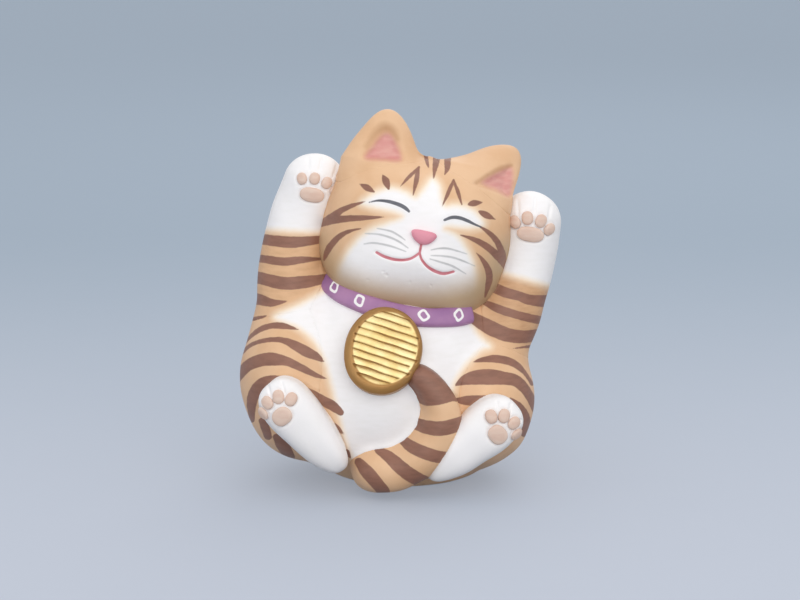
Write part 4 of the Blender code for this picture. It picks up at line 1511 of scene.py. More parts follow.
@dataclass
class Nose(Piece):
    """The raised pink nose: a rounded lozenge narrowed towards its bottom."""

    head: Head
    width: float = 0.0068
    height: float = 0.0040
    rise: float = 0.0013
    side: float = 0.0001
    level: float = 0.0033
    squareness: float = 2.3
    narrowing: float = 0.34
    shoulder: float = 0.10
    droop: float = 0.0003
    droop_turn: float = 1.5
    muzzle_share: float = 0.72
    rim_reach: float = 2.0
    rings: int = 44
    segments: int = 72

    def build(self) -> Skin:
        """The lozenge |x|^p + |y|^p + |z|^p = 1, its width changed by 1 + narrowing times z and its
        middle drooping as a cosine of x."""
        pose = self.stance.head()
        spot, normal = seated(self.head.form(), pose, self.side, self.level)
        spot = spot - pose[:3, 1] * self.head.muzzle_rise * self.muzzle_share
        seat = set_on(spot, normal, pose[:3, 2])
        wide, tall = self.width / 2, self.height / 2
        lozenge = Lump(seat, (wide, self.rise, tall), self.squareness)
        skin = lozenge.skin(Axis.Y, self.rings, self.segments)
        spots = local(seat, skin.points)
        share = spots[:, 2] / tall
        spots[:, 0] *= 1.0 + self.narrowing * share - self.shoulder * np.maximum(share, 0.0) ** 2
        spots[:, 2] -= self.droop * np.cos(spots[:, 0] / wide * self.droop_turn)
        skin.move_to(placed(seat, spots))
        skin.paint[Channel.RIM] = (1.0 - np.hypot(share, spots[:, 0] / wide)) * self.rim_reach
        return skin

    def dress(self, skin: Skin) -> None:
        """Pink, a little deeper towards its edge."""
        layers = (Layer(Channel.RIM, NOSE, NOSE, edge=0.9, wander=0.4, offset=0.3, cover=0.8),)
        finish = Slip("nose_paint", NOSE_DEEP, NOSE, layers, roughness=0.42, grain=0.12)
        show("nose", skin, finish, Slot.NOSE)


@dataclass
class Pads(SidePiece):
    """The large pad and the fan of toe pads of one paw or foot."""

    limb: str
    main: str
    carrier: Form
    pose: Array
    across: float
    level: float
    width: float
    height: float
    fan_turn: float
    toe_width: float = 0.0033
    toe_height: float = 0.0040
    toe_reach: float = 0.0054
    toe_rise: float = 0.0054
    toe_fan: float = 58.0
    toe_count: int = 4
    rise: float = 0.0008
    squareness: float = 2.3
    moat_depth: float = 0.00034
    moat_width: float = 0.0005
    moat_reach: float = 0.003
    rim_reach: float = 2.0
    rings: int = 26
    segments: int = 44

    def lump(self, x: float, z: float, wide: float, tall: float, fan: float) -> Lump:
        """A pad seated on what carries it, turned by an angle in radians."""
        place, normal = seated(self.carrier, self.pose, x, z)
        up = self.pose[:3, :3] @ np.array((math.sin(fan), 0.0, math.cos(fan)))
        return Lump(set_on(place, normal, up), (wide / 2, self.rise, tall / 2), self.squareness)

    def lumps(self) -> dict[str, Lump]:
        """Each pad by its name: the large one, then the toes on an oval fan above it."""
        prefix = self.named(self.limb) + "_"
        made = {prefix + self.main: self.lump(self.across, self.level, self.width, self.height, 0.0)}
        for i in range(self.toe_count):
            share = 2 * i / (self.toe_count - 1) - 1
            fan = math.radians(self.fan_turn + self.sign * self.toe_fan * share)
            x = self.across + self.toe_reach * math.sin(fan)
            z = self.level + self.toe_rise * math.cos(fan)
            made[prefix + "toe_" + str(i + 1)] = self.lump(x, z, self.toe_width, self.toe_height, fan)
        return made

    def moat(self, points: Array) -> Array:
        """How far points move outwards for the cut round each pad: a bell of the distance to its
        outline."""
        depth = np.zeros(len(points))
        for lump in self.lumps().values():
            away = (lump.ring(points) - 1.0) * (lump.half[0] + lump.half[2]) / 2
            near = bell(local(lump.pose, points)[:, 1] / self.moat_reach)
            depth = np.maximum(depth, near * bell(away / self.moat_width))
        return -self.moat_depth * depth

    def dress(self) -> None:
        """Each pad as a low dome, deeper in colour at its middle."""
        layers = (Layer(Channel.RIM, PAD_DEEP, PAD, edge=0.5, wander=0.5, offset=0.5, cover=0.8),)
        finish = Slip(self.named(self.limb) + "_pad_paint", PAD, PAD_DEEP, layers, grain=0.15)
        for name, lump in self.lumps().items():
            skin = lump.skin(Axis.Y, self.rings, self.segments)
            skin.paint[Channel.RIM] = (1.0 - lump.ring(skin.points)) * self.rim_reach
            show(name, skin, finish, Slot.PAD)


@dataclass
class Arm(SidePiece):
    """One raised arm with its round paw; the first two of its seams are its joints."""

    elbow_spread: float
    paw_clear: float
    # tints of the deeper orange; the left arm's darker pair is painted shade
    deep: tuple[Tint, Tint]
    shoulder_inset: float = 0.0064
    shoulder_shift: float = -0.0018
    shoulder_level: float = 0.0200
    root_level: float = 0.0060
    root_inset: float = 0.0075
    elbow_level: float = 0.0420
    elbow_forward: float = 0.0034
    shoulder_forward: float = 0.0080
    paw_forward: float = 0.0052
    diameter: float = 0.0200
    paw_diameter: float = 0.0176
    toe_cut: float = 0.00032
    rings: int = 150
    segments: int = 176

    def line(self) -> Array:
        """Points of the arm from its root to the tip of the paw, in the body's frame."""
        shift = self.shoulder_shift
        spread = self.stance.torso_width / 2 - self.shoulder_inset
        paw = self.stance.head_width / 2 + self.paw_clear
        tip = self.stance.paw_level + self.paw_diameter / 2
        return np.array([
            (self.sign * (spread - self.root_inset) + shift, -self.shoulder_forward, self.root_level),
            (self.sign * spread + shift, -self.shoulder_forward, self.shoulder_level),
            (self.sign * (spread + self.elbow_spread) + shift, -self.elbow_forward, self.elbow_level),
            (self.sign * paw, -self.paw_forward, tip),
        ])

    def form(self) -> Roll:
        """The arm as a roll of clay."""
        wide, narrow = self.diameter / 2, self.paw_diameter / 2
        body = self.stance.body()
        return Roll.along(placed(body, self.line()), (wide, wide, (wide + narrow) / 2, narrow), -body[:3, 1])

    def paw_pose(self) -> Array:
        """Pose at the middle of the palm."""
        return self.stance.body() @ shifted(self.line()[-1][0], 0.0, self.stance.paw_level)

    def build(self, seams: Seams, pads: Pads) -> Skin:
        """The roll luted to its neighbours, cut between the toes and round the pads."""
        skin = self.form().skin(self.rings, self.segments)
        skin.lute(seams)
        self.carve(skin, self.marks.toes, self.toe_cut, pads)
        skin.paint[Channel.SHADE] = np.minimum(*[form.distance(skin.points) for form, _ in seams[:2]]) / MM
        return skin

    def dress(self, skin: Skin) -> None:
        """White paw, orange arm deeper in colour away from its joints, with brown rings."""
        seen = self.station.seen(skin.points)
        x0, y0, x1, y1 = self.marks.sleeve
        sleeve = (y0 + (y1 - y0) * (seen[:, 0] - x0) / (x1 - x0) - seen[:, 1]) * self.station.pixel()
        skin.paint[Channel.WHITE] = np.maximum(sleeve, self.belly_white(skin))
        skin.paint[Channel.STRIPE] = self.station.depth(self.marks.arm, skin.points)
        # deeper orange away from the joints; on the left arm its darker tints are painted shade
        deep = Layer(Channel.SHADE, *self.deep, edge=2.5, wander=0.5, offset=3.0)
        finish = Slip(self.named("arm_paint"), ORANGE, ORANGE_DEEP, (deep, *AIRBRUSH, STRIPES, SEAM_LAYER))
        show(self.named("arm"), skin, finish, Slot.TABBY)


@dataclass
class Thigh(SidePiece):
    """One rounded thigh; from a start, in millimetres, its stripes thin out towards the back."""

    lift: float
    height: float
    sag: float
    spread: float
    inset: float = 0.0090
    setback: float = 0.0226
    width: float = 0.0312
    depth: float = 0.0400
    stripe_start: float = -6.0
    stripe_taper: float = 0.18
    rings: int = 160
    segments: int = 230

    def form(self) -> Lump:
        """The thigh as an egg-shaped lump that sags and shifts below its girth."""
        across = self.sign * (self.stance.torso_width / 2 - self.inset)
        place = shifted(across, self.setback - self.stance.torso_depth / 2, self.lift)
        half = (self.width / 2, self.depth / 2, self.height / 2)
        pose = self.stance.legs() @ place
        return Lump(pose, half, drop=half[2] + self.sag, settle=self.sign * self.spread)

    def build(self, seams: Seams) -> Skin:
        """The lump luted to its neighbours."""
        skin = self.form().skin(Axis.Y, self.rings, self.segments)
        skin.lute(seams)
        return skin

    def dress(self, skin: Skin) -> None:
        """Orange with brown stripes, white where it runs into the belly."""
        skin.paint[Channel.WHITE] = self.belly_white(skin)
        back = local(self.stance.legs(), skin.points)[:, 1] / MM
        depth = self.station.depth(self.marks.thigh, skin.points)
        skin.paint[Channel.STRIPE] = depth - self.stripe_taper * np.maximum(back - self.stripe_start, 0.0)
        finish = Slip(self.named("thigh_paint"), ORANGE, ORANGE_DEEP, (*AIRBRUSH, STRIPES, SEAM_LAYER))
        show(self.named("thigh"), skin, finish, Slot.TABBY)


@dataclass
class Foot(SidePiece):
    """One white hind foot, its sole towards the viewer."""

    inset: float = 0.0128
    shift: float = 0.0012
    setback: float = 0.0012
    drop: float = 0.0058
    length: float = 0.0320
    width: float = 0.0138
    depth: float = 0.0130
    splay: float = 45.0
    flare: float = 0.28
    squareness: float = 2.6
    claw_cut: float = 0.00035
    rings: int = 140
    segments: int = 170

    def pose(self) -> Array:
        """Pose of the foot, its toes up."""
        across = self.sign * (self.stance.torso_width / 2 - self.inset) + self.shift
        place = shifted(across, self.setback - self.stance.torso_depth / 2, -self.drop)
        return self.stance.legs() @ place @ turned(Axis.Y, self.sign * self.splay)

    def form(self) -> Lump:
        """The foot as a rounded paddle."""
        half = (self.width / 2, self.depth / 2, self.length / 2)
        return Lump(self.pose(), half, self.squareness, flare=self.flare)

    def build(self, seams: Seams, pads: Pads) -> Skin:
        """The paddle luted to its neighbours, cut between the toes and round the pads."""
        skin = self.form().skin(Axis.Z, self.rings, self.segments)
        skin.lute(seams)
        self.carve(skin, self.marks.claws, self.claw_cut, pads)
        return skin

    def dress(self, skin: Skin) -> None:
        """White slip, with a darker brown line in the seam."""
        finish = Slip(self.named("foot_paint"), WHITE, WHITE_WARM, (SEAM_LAYER,))
        show(self.named("foot"), skin, finish, Slot.WHITE)


@dataclass
class Tail(Piece):
    """The tail, laid from under the body up the belly to the coin."""

    torso: Torso
    diameter: float = 0.0118
    proud: float = 0.0028
    root_reach: float = 0.6
    root_sink: float = 0.7
    rings: int = 150
    segments: int = 120
    line: tuple[tuple[float, float], ...] = (
        (0.0010, -0.0184),
        (0.0062, -0.0164),
        (0.0114, -0.0120),
        (0.0143, -0.0060),
        (0.0138, 0.0010),
        (0.0100, 0.0065),
        (0.0045, 0.0100),
    )
    taper: tuple[float, ...] = (1.0, 1.0, 1.0, 1.0, 0.93, 0.72, 0.45)

    def form(self) -> Roll:
        """The tail as a roll along the belly, its root carried on and turned in under the body."""
        body = self.stance.body()
        seats = [seated(self.torso.form(), body, x, z) for x, z in self.line]
        knots = [place + normal * self.proud for place, normal in seats]
        inward = body[:3, 1] * self.root_sink * self.diameter
        root = (1.0 + self.root_reach) * knots[0] - self.root_reach * knots[1] + inward
        radii = tuple(self.diameter / 2 * share for share in self.taper)
        return Roll.along(np.array([root, *knots]), radii, -body[:3, 1])

    def build(self, seams: Seams) -> Skin:
        """The roll luted to the belly and the legs."""
        skin = self.form().skin(self.rings, self.segments)
        skin.lute(seams)
        return skin

    def dress(self, skin: Skin) -> None:
        """Orange with brown bands and a brown tip."""
        skin.paint[Channel.STRIPE] = self.station.depth(BODY_MARKS.tail, skin.points)
        finish = Slip("tail_paint", ORANGE, ORANGE_DEEP, (STRIPES, SEAM_LAYER))
        show("tail", skin, finish, Slot.TABBY)


@dataclass
class Collar(Piece):
    """The purple collar band with its dappled squares, whose sizes are in millimetres; the places of
    the four in front are in pixels across the viewing station's picture."""

    torso: Torso
    head: Head
    band: float = 0.0056
    thickness: float = 0.0034
    proud: float = 0.0002
    rise: float = 0.0124
    clear: float = 0.0006
    tilt: float = 0.0096
    top: float = 0.9
    roundness: float = 3.2
    lower_steps: int = 200
    lower_share: float = 0.05
    even_out: int = 7
    tuck: float = 0.0026
    tuck_start: float = 0.0050
    tuck_end: float = 0.0026
    steps: int = 820
    around: int = 56
    mark_size: float = 1.55
    mark_line: float = 0.34
    mark_squareness: float = 3.5
    mark_stretch: float = 0.94
    mark_waver: float = 0.12
    mark_lobes: float = 2.3
    mark_spacing: float = 10.5
    mark_pixels: tuple[float, ...] = (337.5, 360.5, 422.0, 455.0)
    mark_turns: tuple[float, ...] = (8.0, -4.0, 40.0, 26.0)
    back_turn: float = 37.0
    most_back_turn: float = 50.0
    inner_edge: float = -0.2

    def on_torso(self, level: Array) -> Array:
        """Points of a loop on the torso at a level for each even angle from the front."""
        angle = circle(self.steps)
        girth = np.sqrt(1.0 - (level / self.torso.rise) ** 2)
        wide, deep = self.stance.torso_width / 2, self.stance.torso_depth / 2
        return np.stack([wide * girth * np.sin(angle), -deep * girth * np.cos(angle), level], 1)

    def path(self) -> tuple[Array, Array, Array]:
        """Points of the loop on the torso with their outward and upward directions.

        The level is the collar's own less a tilt times the cosine of the angle from the front, and
        lower where the head would cover it, evened out along the loop.

        Returns:
            Points, outward and upward directions in the body's frame.
        """
        level = self.stance.head_bottom + self.rise - self.tilt * np.cos(circle(self.steps))
        level = np.minimum(level, self.top * self.torso.rise)
        head = self.head.form()
        for _ in range(self.lower_steps):
            covered = head.distance(placed(self.stance.body(), self.on_torso(level + self.clear))) < 0
            level = np.where(covered, level - self.clear * self.lower_share, level)
        span = 2 * self.even_out + 1
        level = np.convolve(np.pad(level, self.even_out, "wrap"), np.ones(span) / span, "valid")
        places = self.on_torso(level)
        outward = unit(places / np.array(self.torso.form().half) ** 2)
        along = unit(np.cross((0.0, 0.0, 1.0), outward))
        return places, outward, unit(np.cross(outward, along))

    def section(self) -> tuple[Array, Array]:
        """Breadth and height of the soft flat section |x/a|^p + |y/b|^p = 1 at even angles."""
        across, depth = np.cos(circle(self.around)), np.sin(circle(self.around))
        power = self.roundness
        scale = (np.abs(across) ** power + np.abs(depth) ** power) ** (-1.0 / power)
        return across * scale * self.band / 2, depth * scale * self.thickness / 2

    def build(self, arm: Form) -> Skin:
        """The section carried round the loop and tucked in where the arm that covers it is near."""
        places, outward, upward = self.path()
        near = arm.distance(placed(self.stance.body(), places))
        places = places - outward * (self.tuck * smooth(self.tuck_start, self.tuck_end, near))[:, None]
        breadth, height = self.section()
        grid = places[:, None] + outward[:, None] * (self.proud + height)[:, None]
        grid = grid + upward[:, None] * breadth[:, None]
        skin = Skin(placed(self.stance.body(), grid), None)
        skin.knead()
        return skin

    def stops(self, along: Array, loop: float, places: Array) -> list[tuple[float, float]]:
        """Lengths along the loop and slants of the squares: the four in front, then the rest evenly
        spread round the back.

        Args:
            along: Length along the loop up to each of its points.
            loop: Length of the whole loop.
            places: Points of the loop in the body's frame.

        Returns:
            A length in millimetres and a slant in degrees for each square.
        """
        across = self.station.seen(placed(self.stance.body(), places))[:, 0]
        behind = np.where(places[:, 1] < 0, 0.0, np.inf)
        nearest = [along[np.argmin(np.abs(across - x) + behind)] for x in self.mark_pixels]
        start, end = nearest[-1], nearest[0]
        end = end if end > start else end + loop
        count = int((end - start) / self.mark_spacing)
        rest = [(start + (end - start) * i / count, self.back_turn * i % self.most_back_turn)
                for i in range(1, count)]
        return [*zip(nearest, self.mark_turns), *rest]

    def dress(self, skin: Skin) -> None:
        """Purple, with hand-painted square rings: a ring is a line at an even distance from a square."""
        places = self.path()[0]
        along = lengths(places) / MM
        loop = along[-1] + np.linalg.norm(places[0] - places[-1]) / MM
        breadth = self.section()[0] / MM
        depth = np.full((self.steps, self.around), -FAR)
        for number, (stop, slant) in enumerate(self.stops(along, loop, places)):
            beside = ((along - stop % loop + loop / 2) % loop - loop / 2)[:, None]
            cosine, sine = math.cos(math.radians(slant)), math.sin(math.radians(slant))
            u = beside * cosine + breadth * sine
            v = breadth * cosine - beside * sine
            power = self.mark_squareness
            size = (np.abs(u) ** power + np.abs(v * self.mark_stretch) ** power) ** (1 / power)
            size = size + self.mark_waver * np.sin(self.mark_lobes * np.arctan2(v, u) + number)
            depth = np.maximum(depth, self.mark_line - np.abs(size - self.mark_size + self.mark_line))
        outer = np.sin(circle(self.around)) > self.inner_edge
        skin.paint[Channel.MARK] = np.where(outer, depth, -FAR).ravel()
        layers = (Layer(Channel.MARK, WHITE, WHITE_WARM, edge=0.10, wander=0.20, cover=0.96),)
        finish = Slip("collar_paint", PURPLE, PURPLE_DEEP, layers, roughness=0.46)
        show("collar", skin, finish, Slot.COLLAR)


@dataclass
class Koban(Piece):
    """The oval gold coin with slanting grooves.

    Waves of the outline are a height, a number and a phase; the ends of the grooves are a mean, a
    swing, a step from groove to groove and a phase, as shares of the coin's half size.
    """

    torso: Torso
    width: float = 0.0214
    height: float = 0.0247
    thickness: float = 0.0056
    edge: float = 0.0021
    # shift of the middle of the rim band and the grooves' ends, so the dark band is wider on the left and at
    # the bottom, as painted shade
    rim_across: float = 0.06
    rim_up: float = 0.05
    crown: float = 0.0005
    back_round: float = 0.0006
    side: float = -0.0038
    level: float = 0.0137
    sink: float = 0.0010
    outline_waves: tuple[tuple[float, float, float], ...] = ((0.008, 2, 0.6), (0.004, 3, 2.0))
    groove_count: int = 11
    groove_depth: float = 0.00075
    groove_slope: float = 0.30
    groove_wall: float = 0.06
    groove_line: float = 0.10
    groove_stray: float = 0.02
    groove_bends: float = 9.0
    groove_fade: float = 0.03
    left_ends: tuple[float, ...] = (0.05, 0.03, 5.1, 0.0)
    right_ends: tuple[float, ...] = (0.02, 0.06, 3.7, 1.0)
    slant: float = 8.0
    rows_per_groove: int = 16
    even_rows: float = 0.985
    end_rows: tuple[float, ...] = (0.988, 0.994, 0.998, 0.9997)
    segments: int = 210

    def pose(self) -> Array:
        """Pose at the middle of the coin's thickness."""
        body = self.stance.body()
        place, normal = seated(self.torso.form(), body, self.side, self.level)
        return set_on(place, normal, body[:3, 2]) @ shifted(0.0, self.sink - self.thickness / 2, 0.0)

    def pitch(self) -> float:
        """Distance between two grooves."""
        return self.height / (self.groove_count + 1)

    def rows(self, reach: float) -> Array:
        """Levels of the rows, even between the grooves and closer at both ends, as shares of the reach."""
        step = self.pitch() / self.rows_per_groove / reach
        count = int(self.even_rows / step)
        ends = np.array(self.end_rows)
        return np.concatenate([-ends[::-1], step * np.arange(-count, count + 1), ends])

    def ends(self, number: Array, across: Array) -> Array:
        """How far onto the rim each numbered groove runs, at its left or right end."""
        left, right = [
            mean + swing * np.sin(step * number + phase)
            for mean, swing, step, phase in (self.left_ends, self.right_ends)
        ]
        return np.where(across < 0, left, right)

    def build(self) -> Skin:
        """An oval disc on rows that run along the grooves, each row a loop over the face and the back.

        The face falls off to the rim as a quarter round of the distance r from the middle. A groove
        is cut steeply at its top and runs out slowly below, as exp(-f / slope) of the share f of the
        way down to the next one.

        Returns:
            The surface.
        """
        half, wide, tall = self.thickness / 2, self.width / 2, self.height / 2
        slope = math.radians(self.slant)
        reach = math.hypot(tall * math.cos(slope), wide * math.sin(slope))
        tilt = math.atan2(wide * math.sin(slope), tall * math.cos(slope))
        turn = 2.0 * math.pi * (np.arange(self.segments) + 0.5) / self.segments
        v = self.rows(reach)[:, None]
        w = np.sqrt(1.0 - v**2) * np.sin(turn)
        p = w * math.cos(tilt) + v * math.sin(tilt)
        q = v * math.cos(tilt) - w * math.sin(tilt)
        radius = np.hypot(p, q)
        around = np.arctan2(q, p)
        waves = sum(rise * np.sin(count * around + phase) for rise, count, phase in self.outline_waves)
        uneven = 1.0 + radius**2 * waves
        inner = 1.0 - self.edge / wide
        fall = 1.0 - np.sqrt(1.0 - np.clip((radius - inner) / (1.0 - inner), 0.0, 1.0) ** 2)
        face = -half + self.crown * radius**2 + (self.edge - self.crown) * fall

        phase = -v * reach / self.pitch()
        number = np.round(phase)
        share = (phase + self.groove_stray * np.sin(w * self.groove_bends + number)) % 1.0
        within = np.hypot(p - self.rim_across, q - self.rim_up)
        kept = smooth(self.groove_fade, -self.groove_fade, within - inner - self.ends(number, w))
        cut = np.exp(-share / self.groove_slope) + bell((1.0 - share) / self.groove_wall)
        front = np.broadcast_to(np.cos(turn) > 0.0, radius.shape)
        y = np.where(front, face + self.groove_depth * cut * kept, half - self.back_round * fall)
        grid = np.stack([wide * p * uneven, y, tall * q * uneven], -1)
        top = np.array((wide * math.sin(tilt), 0.0, tall * math.cos(tilt)))
        skin = Skin(placed(self.pose(), grid), placed(self.pose(), np.stack([-top, top])))

        line = bell(np.minimum(share, 1.0 - share) / self.groove_line)
        lines = np.where(front, line * kept, 0.0)
        # rim band for paint, wider on the left and at the bottom: in part painted shade
        band = np.where(front, (within - inner) / (1.0 - inner), 1.0)
        skin.paint[Channel.GROOVE] = np.append(lines.ravel(), (0.0, 0.0))
        skin.paint[Channel.RIM] = np.append(band.ravel(), (1.0, 1.0))
        skin.knead()
        return skin

    def dress(self, skin: Skin) -> None:
        """Gold paint."""
        show("koban", skin, GoldPaint("koban_paint"), Slot.KOBAN)


# Studio and the whole figure


@dataclass(frozen=True)
class Lamp:
    """A soft square lamp that faces the figure."""

    name: str
    place: tuple[float, float, float]
    size: float
    power: float
    tint: Tint

    def build(self, aim: Array) -> None:
        """Hangs the lamp and points it at a place."""
        light = bpy.data.lights.new(self.name, "AREA")
        light.size = self.size
        light.energy = self.power
        light.color = self.tint.linear()[:3]
        bulb = bpy.data.objects.new(self.name, light)
        ahead = unit(aim - np.array(self.place))
        across = unit(np.cross(ahead, (0.0, 0.0, 1.0)))
        turn = np.eye(4)
        turn[:3] = np.stack([across, np.cross(across, ahead), -ahead, self.place], 1)
        bulb.matrix_world = Matrix(turn.tolist())
        bulb.visible_camera = False
        bpy.context.scene.collection.objects.link(bulb)


@dataclass
class Studio:
    """Pale floor, soft light and the camera. The floor glows by a share of its colour where it is seen,
    so that the shadow on it stays faint."""

    station: Station
    floor_rings: tuple[float, ...] = (0.05, 0.2, 0.6, 1.5, 3.5, 6.0)
    floor_segments: int = 96
    floor_tint: Tint = Tint(189, 196, 209)
    floor_far: Tint = Tint(155, 169, 184)
    floor_fade: tuple[float, float] = (-0.14, 0.42)
    floor_glow: float = 0.50
    floor_roughness: float = 0.9
    speck: Noise = Noise(0.02, 3.0)
    speck_share: float = 0.03
    sky_tint: Tint = Tint(229, 230, 233)
    sky_strength: float = 1.02
    clip_start: float = 0.01
    lamps: tuple[Lamp, ...] = (
        Lamp("key", (0.25, -0.90, 0.58), 1.10, 4.1, Tint(255, 251, 244)),
        Lamp("fill", (-0.40, -0.94, 0.22), 0.80, 1.4, Tint(250, 251, 255)),
        Lamp("rim", (0.20, 0.70, 0.70), 0.60, 1.4, Tint(255, 255, 255)),
    )

    def build(self) -> None:
        """Makes the floor, world, lamps and camera."""
        self.floor()
        self.sky()
        for lamp in self.lamps:
            lamp.build(np.array(self.station.aim))
        self.camera()

    def paper(self) -> bpy.types.Material:
        """Finish of the floor: a little darker far behind the figure, with faint specks."""
        bench = Bench("floor_paper")
        split = bench.nodes.new("ShaderNodeSeparateXYZ")
        bench.feed(split.inputs[0], bench.place)
        away = bench.step(split.outputs["Y"], *self.floor_fade)
        speck = bench.noise(self.speck)
        speck = bench.math("MULTIPLY_ADD", speck, self.speck_share, -self.speck_share / 2)
        colour = bench.mix(bench.math("ADD", away, speck), self.floor_tint, self.floor_far)
        lit = bench.mix(self.floor_glow, colour, (0.0, 0.0, 0.0, 1.0))
        rays = bench.nodes.new("ShaderNodeLightPath").outputs
        reflected = bench.math("MAXIMUM", rays["Is Glossy Ray"], rays["Is Transmission Ray"])
        seen = bench.math("MAXIMUM", rays["Is Camera Ray"], reflected)
        bench.feed(bench.shader["Base Color"], lit)
        bench.feed(bench.shader["Emission Color"], colour)
        bench.feed(bench.shader["Emission Strength"], bench.math("MULTIPLY", seen, self.floor_glow))
        bench.feed(bench.shader["Roughness"], self.floor_roughness)
        return bench.material

    def floor(self) -> None:
        """A round pale floor on rings."""
        radius = np.array(self.floor_rings)[:, None]
        turn = circle(self.floor_segments)
        x, y = radius * np.cos(turn), radius * np.sin(turn)
        flat = np.stack([x, y, np.zeros_like(x)], -1).reshape(-1, 3)
        index = np.arange(x.size).reshape(x.shape)
        quads = np.stack([index[:-1], index[1:], np.roll(index[1:], -1, 1), np.roll(index[:-1], -1, 1)], -1)
        mesh = bpy.data.meshes.new("floor")
        mesh.from_pydata(flat.tolist(), [], [index[0].tolist(), *quads.reshape(-1, 4).tolist()])
        mesh.update()
        mesh.materials.append(self.paper())
        floor = bpy.data.objects.new("floor", mesh)
        bpy.context.scene.collection.objects.link(floor)

    def sky(self) -> None:
        """Even pale surroundings."""
        world = bpy.data.worlds.new("studio")
        world.use_nodes = True
        sky = world.node_tree.nodes["Background"]
        sky.inputs["Color"].default_value = self.sky_tint.linear()
        sky.inputs["Strength"].default_value = self.sky_strength
        bpy.context.scene.world = world

    def camera(self) -> None:
        """The camera at the viewing station."""
        lens = bpy.data.cameras.new("camera")
        lens.sensor_width = self.station.sensor
        lens.lens = self.station.focal * self.station.sensor / self.station.width
        lens.clip_start = self.clip_start
        camera = bpy.data.objects.new("camera", lens)
        camera.location = self.station.eye().tolist()
        camera.rotation_euler = (math.pi / 2 - math.radians(self.station.elevation), 0.0, 0.0)
        bpy.context.scene.collection.objects.link(camera)
        bpy.context.scene.camera = camera


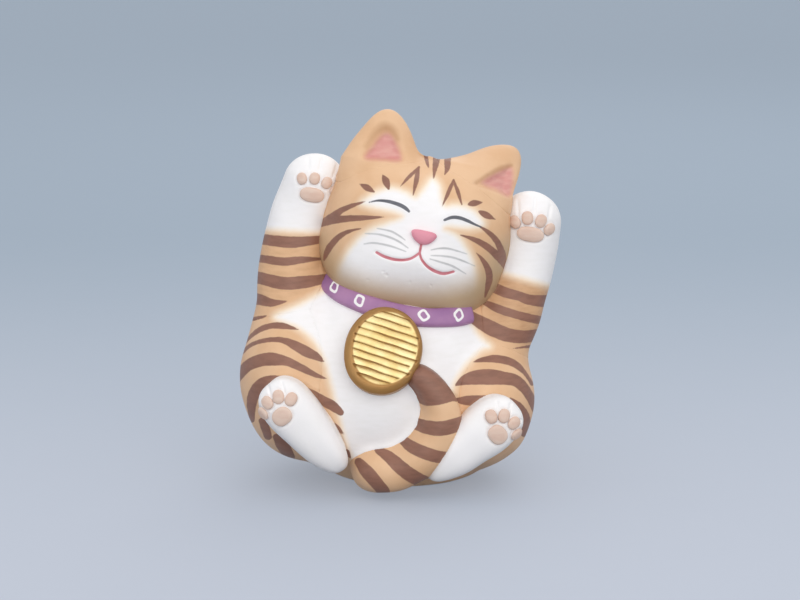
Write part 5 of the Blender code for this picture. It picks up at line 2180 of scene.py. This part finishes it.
@dataclass
class Figure:
    """The whole figure: its paired pieces with what differs from side to side, and the widths of the
    fillets between pieces."""

    stance: Stance
    station: Station
    tail_seam: float = 0.0040
    foot_seam: float = 0.0014
    close_seam: float = 0.0009
    right_limb_seam: float = 0.0068
    left_limb_seam: float = 0.0042
    right_ear_seam: float = 0.0050
    left_ear_seam: float = 0.0066
    sole_across: float = 0.0019

    def __post_init__(self) -> None:
        """Sets out the forms of the pieces."""
        common = (self.stance, self.station)
        right, left = (*common, Side.RIGHT), (*common, Side.LEFT)
        self.torso = Torso(*common)
        self.head = Head(*common)
        self.tail = Tail(*common, self.torso)
        self.limb_seams = {Side.RIGHT: self.right_limb_seam, Side.LEFT: self.left_limb_seam}
        self.ear_seams = {Side.RIGHT: self.right_ear_seam, Side.LEFT: self.left_ear_seam}
        self.ears = {
            Side.RIGHT: Ear(*right, splay=2.5, recline=8.0, shear=0.0, inset=0.0133, sink=0.0023,
                            width=0.0236, fold_shade_edge=1.0, fold_shade_cover=0.62),
            Side.LEFT: Ear(*left, splay=11.0, recline=34.0, shear=0.46, inset=0.0136, sink=0.0016,
                           width=0.0225, fold_shade_edge=0.6, fold_shade_cover=0.55),
        }
        self.arms = {
            Side.RIGHT: Arm(*right, elbow_spread=0.0014, paw_clear=0.0018, deep=(ORANGE_DEEP, ORANGE_TAN)),
            # darker tints: painted shade on this arm
            Side.LEFT: Arm(*left, elbow_spread=0.0042, paw_clear=0.0045, deep=(ORANGE_TAN, ORANGE_PAINTED_SHADE)),
        }
        self.thighs = {
            Side.RIGHT: Thigh(*right, lift=0.0041, height=0.0402, sag=0.0048, spread=-0.0026),
            Side.LEFT: Thigh(*left, lift=0.0008, height=0.0388, sag=0.0, spread=0.0),
        }
        self.feet = {side: Foot(*common, side) for side in Side}
        self.egg, self.skull, self.rope = self.torso.form(), self.head.form(), self.tail.form()
        self.arm_forms = {side: arm.form() for side, arm in self.arms.items()}
        self.thigh_forms = {side: thigh.form() for side, thigh in self.thighs.items()}
        self.foot_forms = {side: foot.form() for side, foot in self.feet.items()}

    def paw_pads(self, side: Side) -> Pads:
        """Pads of one paw."""
        carrier, pose = self.arm_forms[side], self.arms[side].paw_pose()
        seat = (self.stance, self.station, side, "paw", "palm", carrier, pose)
        if side is Side.RIGHT:
            return Pads(*seat, across=-0.0020, level=-0.0026, width=0.0070, height=0.0042, fan_turn=15.0,
                        toe_width=0.0030, toe_height=0.0035, toe_reach=0.0070, toe_rise=0.0047, toe_fan=46.0)
        return Pads(*seat, across=0.0006, level=-0.0030, width=0.0078, height=0.0043, fan_turn=3.0,
                    toe_width=0.0033, toe_height=0.0039, toe_reach=0.0060, toe_rise=0.0046, toe_fan=58.0)

    def sole_pads(self, side: Side) -> Pads:
        """Pads of one foot."""
        carrier, pose = self.foot_forms[side], self.feet[side].pose()
        seat = (self.stance, self.station, side, "foot", "sole", carrier, pose)
        return Pads(*seat, across=side.value * self.sole_across, level=0.0076, width=0.0058, height=0.0050,
                    fan_turn=10.0 if side is Side.RIGHT else -12.0)

    def build(self) -> None:
        """Builds and dresses every piece in order."""
        self.build_middle()
        for side in Side:
            self.build_upper(side)
            self.build_lower(side)
        collar = Collar(self.stance, self.station, self.torso, self.head)
        collar.dress(collar.build(self.arm_forms[Side.LEFT]))
        koban = Koban(self.stance, self.station, self.torso)
        koban.dress(koban.build())

    def build_middle(self) -> None:
        """Builds the torso, head, nose and tail."""
        seams: Seams = [(self.rope, self.tail_seam)]
        for side in Side:
            seams += [(forms[side], self.limb_seams[side]) for forms in (self.arm_forms, self.thigh_forms)]
            seams += [(self.foot_forms[side], self.foot_seam)]
        self.torso.dress(self.torso.build(seams))

        seams = [(self.ears[side], self.ear_seams[side]) for side in Side]
        seams += [(self.arm_forms[side], self.close_seam) for side in Side]
        self.head.dress(self.head.build(seams))
        nose = Nose(self.stance, self.station, self.head)
        nose.dress(nose.build())

        seams = [(self.egg, self.tail_seam)]
        for side in Side:
            seams += [(self.thigh_forms[side], self.foot_seam), (self.foot_forms[side], self.close_seam)]
        self.tail.dress(self.tail.build(seams))

    def build_upper(self, side: Side) -> None:
        """Builds the ear, arm and paw pads of one side."""
        other = Side(-side.value)
        seams: Seams = [(self.skull, self.ear_seams[side]), (self.ears[other], self.ear_seams[other])]
        seams += [(self.arm_forms[side], self.close_seam)]
        self.ears[side].dress(self.ears[side].build(seams))

        broad = self.limb_seams[side]
        seams = [(self.egg, broad), (self.thigh_forms[side], broad), (self.skull, self.close_seam)]
        pads = self.paw_pads(side)
        self.arms[side].dress(self.arms[side].build(seams, pads))
        pads.dress()

    def build_lower(self, side: Side) -> None:
        """Builds the thigh, foot and sole pads of one side."""
        broad = self.limb_seams[side]
        seams: Seams = [(self.egg, broad), (self.arm_forms[side], broad)]
        seams += [(self.foot_forms[side], self.foot_seam), (self.rope, self.foot_seam)]
        self.thighs[side].dress(self.thighs[side].build(seams))

        seams = [(self.egg, self.foot_seam), (self.thigh_forms[side], self.foot_seam)]
        seams += [(self.rope, self.close_seam)]
        pads = self.sole_pads(side)
        self.feet[side].dress(self.feet[side].build(seams, pads))
        pads.dress()


def main() -> None:
    """Builds the studio and the figure."""
    logging.basicConfig(level=logging.INFO, format="%(message)s")
    bpy.context.scene.view_settings.view_transform = "Standard"
    for stray in [obj for obj in bpy.data.objects if obj.type in ("LIGHT", "CAMERA")]:
        bpy.data.objects.remove(stray)
    Studio(Station()).build()
    Figure(Stance(), Station()).build()
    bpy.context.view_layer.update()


if __name__ == "__main__":
    main()
